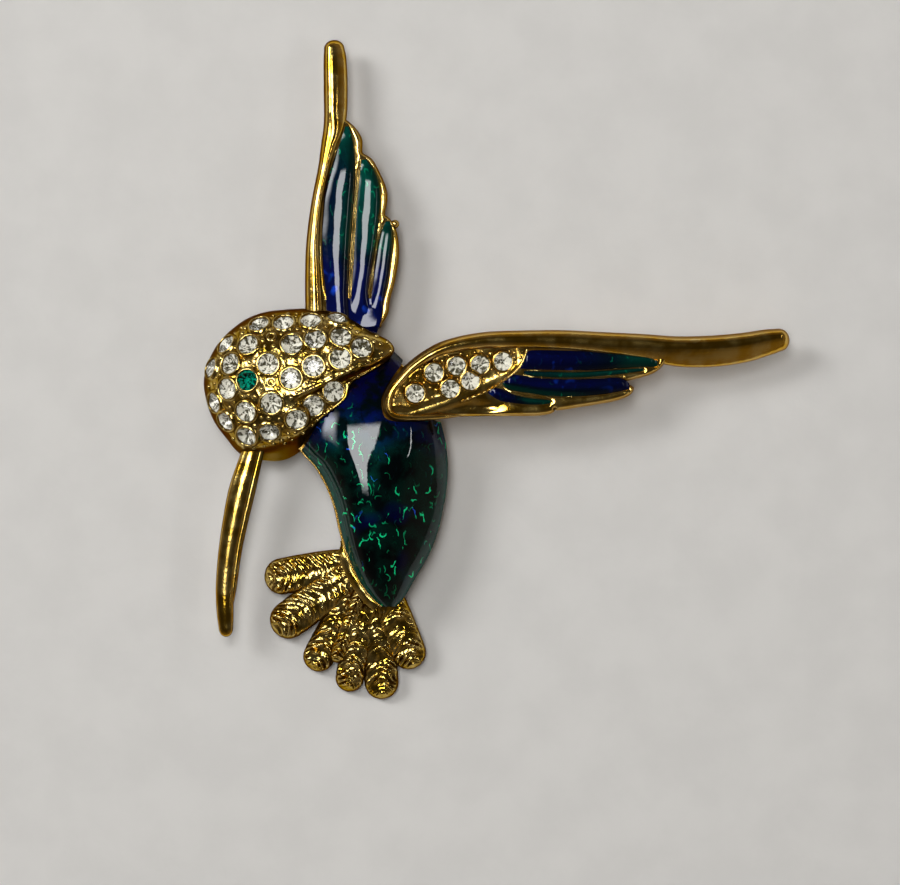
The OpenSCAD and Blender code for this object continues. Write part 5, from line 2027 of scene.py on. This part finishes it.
@dataclass
class FarWing(Wing):
    """The raised wing behind the head."""

    length: float = 29.35
    chord: float = 9.55
    tilt: float = 3.5
    roll: float = 5
    lift: float = 0.5
    root: float = 0.238
    # Where it stands, in head radii from the head's centre
    stand: tuple[float, float] = (0.62, 0.7)
    roots: tuple[float, ...] = (1.5, 6.5, 5.0, 0.7)
    crowns: tuple[float, ...] = (0.42, 0.26, 0.30, 0.05)
    pools: tuple[float, ...] = (0.0, 0.0, 0.0, 0.22)
    fades: tuple[float, ...] = (5.0, 2.5, 1.2, 2.8)
    crest: float = 0.35
    # The small nub on its edge: along and across, radius and rise
    nub: tuple[float, float] = (0.362, 0.940)
    nub_size: tuple[float, float] = (0.44, 0.55)
    tip: float = 0.9
    ways: Table = ((0, 1), (1, 0))
    lean: Table = ((0.0, 0.55, 0.66, 0.74, 1.0), (0.0, 0.0, -0.1, 0.28, 0.28))
    seams: Table = ((0, 0.105, 0.60), (1, 0.105, 0.42))
    wire_half: float = 0.14
    wire_rise: float = 0.22
    plate: Table = (
        (0.01, 0.09), (0.19, 0.09), (0.3, 0.1), (0.43, 0.13), (0.55, 0.2), (0.62, 0.25),
        (0.7, 0.3), (0.725, 0.37), (0.718, 0.44), (0.688, 0.54), (0.651, 0.6), (0.612, 0.6),
        (0.603, 0.62), (0.582, 0.71), (0.527, 0.8), (0.473, 0.86), (0.428, 0.855), (0.397, 0.835),
        (0.384, 0.875), (0.356, 0.94), (0.308, 0.975), (0.25, 0.98), (0.171, 0.94), (0.103, 0.885),
        (0.055, 0.862), (0.022, 0.8), (0.006, 0.72))
    spar: Table = (
        (0.01, 0.095, 0.62, 1.0), (0.08, 0.095, 0.62, 1.0), (0.19, 0.085, 0.56, 1.0),
        (0.3, 0.085, 0.47, 1.0), (0.43, 0.125, 0.4, 1.0), (0.55, 0.2, 0.42, 1.0),
        (0.63, 0.255, 0.56, 1.0), (0.71, 0.315, 0.74, 1.0), (0.82, 0.325, 0.8, 1.0),
        (0.92, 0.32, 0.77, 0.96), (0.965, 0.311, 0.68, 0.92))
    cells: tuple[Table, ...] = (
        ((-0.01, 0.23, 0.46), (0.11, 0.218, 0.438), (0.17, 0.2, 0.447), (0.284, 0.178, 0.466),
         (0.418, 0.195, 0.498), (0.486, 0.221, 0.516), (0.555, 0.28, 0.52), (0.623, 0.353, 0.505),
         (0.668, 0.4, 0.474), (0.695, 0.424, 0.45)),
        ((-0.01, 0.47, 0.67), (0.103, 0.48, 0.648), (0.171, 0.493, 0.668), (0.284, 0.516, 0.726),
         (0.377, 0.535, 0.768), (0.445, 0.551, 0.782), (0.5, 0.566, 0.768), (0.541, 0.581, 0.721),
         (0.582, 0.598, 0.632)),
        ((0.007, 0.695, 0.763), (0.092, 0.69, 0.805), (0.154, 0.705, 0.853), (0.233, 0.737, 0.889),
         (0.291, 0.766, 0.908), (0.336, 0.8, 0.905), (0.37, 0.847, 0.877)),
        ((-0.01, 0.23, 0.737), (0.034, 0.222, 0.779), (0.086, 0.219, 0.8), (0.106, 0.217, 0.8)))
    shades: tuple[Table, ...] = (
        ((0.0, 0.0, 0.0), (0.3, 0.1, 0.35), (0.45, 0.45, 0.95), (0.75, 0.5, 0.65), (1.0, 0.95, 0.95)),
        ((0.0, 0.0, 0.0), (0.35, 0.05, 0.15), (0.5, 0.6, 0.95), (1.0, 1.0, 1.0)),
        ((0.0, 0.0, 0.2), (0.5, 0.1, 0.3), (0.75, 0.8, 0.8), (1.0, 1.0, 1.0)),
        ((0.0, 0.0, 0.0), (1.0, 0.0, 0.0)))

    def turn(self) -> tuple[Array, Array]:
        """The rotation and the move that put the wing in place."""
        r = rotation((self.roll, "Y"), (-self.tilt, "X"))
        xy = self.plan.head_at + self.plan.head_r * np.array(self.stand)
        at = np.array([*xy, self.plan.back_z + self.lift])
        return r, at + r @ np.array([-self.root * self.chord, 0, 0])

    def build(self, gold: Material, enamel: Material, cutter: Piece) -> None:
        """Makes the wing's pieces.

        Args:
            gold: The metal.
            enamel: The enamel.
            cutter: The column of the head, which the enamel is cut with.
        """
        metal = self.metal()
        self.wires(metal)
        spot = self.laid(self.nub[0] * self.length, self.nub[1] * self.chord)
        bead(metal, np.array([*spot, self.plate_t - 0.35]), np.array([0.0, 0.0, 1.0]), *self.nub_size)
        gilded(self.placed(metal), "far_wing_metal", gold)
        names = ["far_wing_feathers", *(f"far_strip_{k}" for k in range(1, len(self.cells)))]
        strips = [self.placed(self.strip(k)).piece(name, [enamel], 50) for k, name in enumerate(names)]
        joined = carved(strips[0], strips[1:], Carving.JOIN)
        dressed(self.tinted(carved(joined, [cutter], Carving.CUT)), Slot.WING, "far_wing_enamel")


@dataclass(frozen=True)
class Light:
    """A soft light over the brooch, placed by the angles that it stands away from straight above."""

    name: str
    across: float
    up: float
    size: tuple[float, float]
    radiance: float
    colour: Colour = (1.0, 1.0, 1.0)
    taper: float = 1.0
    soft: float = 0.08
    height: float = 0.6

    def build(self, aim: Vector) -> None:
        """Makes the light, brightest in the middle and narrower at its lower end.

        Args:
            aim: The point that it faces, in metres.
        """
        lamp = bpy.data.lights.new(self.name, "AREA")
        lamp.shape = "RECTANGLE"
        lamp.size, lamp.size_y = self.size
        lamp.energy = self.radiance * math.pi * self.size[0] * self.size[1]
        lamp.color = self.colour
        lamp.use_nodes = True
        w = Wiring(lamp.node_tree)
        across, along, _ = w.split(w.node("ShaderNodeNewGeometry").outputs["Parametric"])
        half = w.math("ADD", w.math("MULTIPLY", along, 1 - self.taper), self.taper)
        off = w.math("DIVIDE", w.math("ABSOLUTE", w.math("SUBTRACT", across, 0.5)), half)
        ends = w.between(w.math("ABSOLUTE", w.math("SUBTRACT", along, 0.5)), 0.5, 0.42 - self.soft)
        strength = w.math("MULTIPLY", w.between(off, 0.5, 0.5 - self.soft), ends)
        w.fill(lamp.node_tree.nodes["Emission"], Strength=strength)
        made = bpy.data.objects.new(self.name, lamp)
        tans = [math.tan(math.radians(angle)) for angle in (self.across, self.up)]
        made.location = aim + self.height * Vector((*tans, 1.0))
        z = (made.location - aim).normalized()
        x = Vector((0, 1, 0)).cross(z).normalized()
        made.rotation_euler = Matrix((x, z.cross(x), z)).transposed().to_euler()
        bpy.context.scene.collection.objects.link(made)


@dataclass
class Studio:
    """The pale floor, the soft lights and the camera."""

    centre: tuple[float, float] = (-4.75, -7.25)
    height: float = 400.0
    plane: float = 5.0
    frame_w: float = 90.0
    sensor: float = 36.0
    floor_side: float = 1.6
    floor: Colour = (0.80, 0.78, 0.745)
    overhead: Colour = (0.026, 0.023, 0.018)
    walls: Colour = (0.15, 0.12, 0.095)
    lights: tuple[Light, ...] = (
        Light("lamp", -5, 4.5, (0.21, 0.38), 12.5, (0.98, 0.99, 1.0), taper=0.35),
        Light("window", -41, 27, (0.46, 0.38), 13.0, (0.98, 0.99, 1.0), soft=0.34),
        Light("tube", 42, 3, (0.02, 0.36), 14.0),
    )

    def build(self) -> None:
        """Makes the floor, the lights, the world and the camera."""
        scene = bpy.context.scene
        scene.view_settings.view_transform = "Standard"
        aim = Vector((self.centre[0] * MM, self.centre[1] * MM, self.plane * MM))
        for light in self.lights:
            light.build(aim)
        scene.world = self.room()
        self.build_floor()
        lens = bpy.data.cameras.new("camera")
        lens.sensor_fit = "HORIZONTAL"
        lens.sensor_width = self.sensor
        lens.lens = self.sensor * (self.height - self.plane) / self.frame_w
        lens.clip_start = 0.01
        camera = bpy.data.objects.new("camera", lens)
        camera.location = (self.centre[0] * MM, self.centre[1] * MM, self.height * MM)
        scene.collection.objects.link(camera)
        scene.camera = camera

    def room(self) -> bpy.types.World:
        """Makes the room that the metal mirrors: dark overhead and paler towards its walls.

        Returns:
            The world.
        """
        world = bpy.data.worlds.new("room")
        world.use_nodes = True
        w = Wiring(world.node_tree)
        way = w.node("ShaderNodeTexCoord").outputs["Generated"]
        clutter = w.math("SUBTRACT", w.pattern(way, 2.6).outputs["Fac"], 0.5)
        height = w.math("ADD", w.split(way)[2], w.math("MULTIPLY", clutter, 0.7))
        colour = w.blend(w.between(height, 0.15, 0.85), self.walls, self.overhead)
        w.fill(world.node_tree.nodes["Background"], Color=colour)
        return world

    def build_floor(self) -> None:
        """Makes the floor with a faint matt grain."""
        made, w, shader = new_material("floor")
        tone = w.between(w.noise(6.0, 6.0), LOW, HIGH)
        tint = w.blend(tone, self.floor, tuple(0.95 * c for c in self.floor))
        w.fill(shader, Base_Color=tint, Roughness=0.8, Normal=w.bump(w.noise(0.8), 0.05, 0.4))
        half = self.floor_side / 2
        corners = [(x * half, y * half, 0) for x, y in ((-1, -1), (1, -1), (1, 1), (-1, 1))]
        mesh = bpy.data.meshes.new("floor")
        mesh.from_pydata(corners, [], [(0, 1, 2, 3)])
        mesh.materials.append(made)
        floor = bpy.data.objects.new("floor", mesh)
        bpy.context.scene.collection.objects.link(floor)


def main() -> None:
    """Loads the frame and builds the brooch piece by piece."""
    logging.basicConfig(level=logging.INFO, format="%(message)s")
    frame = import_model()
    Studio().build()
    plan = Plan()
    effects = Effects()
    gold = GoldFinish().material(effects)
    cast = GoldFinish(
        name="cast gold",
        bright=(0.92, 0.73, 0.29),
        base=(0.57, 0.36, 0.035),
        # The cast gold's sides take more of the painted shade
        side_shade_share=0.9,
        rough=0.08,
        uneven=0.10,
        reach=0.9,
        grain=0.3,
        grain_height=0.02,
    ).material(effects)
    crystal = CrystalFinish("crystal")
    # The emerald's glass, and its bright and dark painted reflections
    emerald = CrystalFinish("emerald crystal", (0.0, 0.40, 0.34), (0.10, 0.95, 0.75), (0.0, 0.02, 0.02))
    clear = [crystal.crown(), crystal.pavilion()]
    green = [emerald.crown(), emerald.pavilion()]

    head = Head(plan)
    head.build(cast, clear, green)
    Beak(plan).build(gold)
    around = grown(head.foot(np.arange(0, 360, 3.0)), plan.gap)
    near = NearWing(plan)
    body = Body(plan)
    root = near.placed(near.prism(near.room, -10, 10, 0.25)).piece("root_column", [], 0)
    beside_head = Solid().column(around, 0, 30)
    body.shell(BodyEnamelFinish().material(effects), [beside_head.piece("head_column", [], 0), root])
    body.bed(gold)
    Tail(plan, body).build(cast)
    wing_enamel = WingEnamelFinish().material(effects)
    FarWing(plan).build(gold, wing_enamel, beside_head.piece("head_column", [], 0))
    # The wing gold's sides are a paler tan, a painted reflection of the floor
    near.build(GoldFinish("wing gold", side=(0.50, 0.32, 0.14)).material(effects), wing_enamel, clear)

    pin = frame["nodes"]["pin_back"]
    pin.data.materials.clear()
    pin.data.materials.append(GoldFinish("pin gold", rough=0.24, grain=0.5).material(effects))


if __name__ == "__main__":
    main()
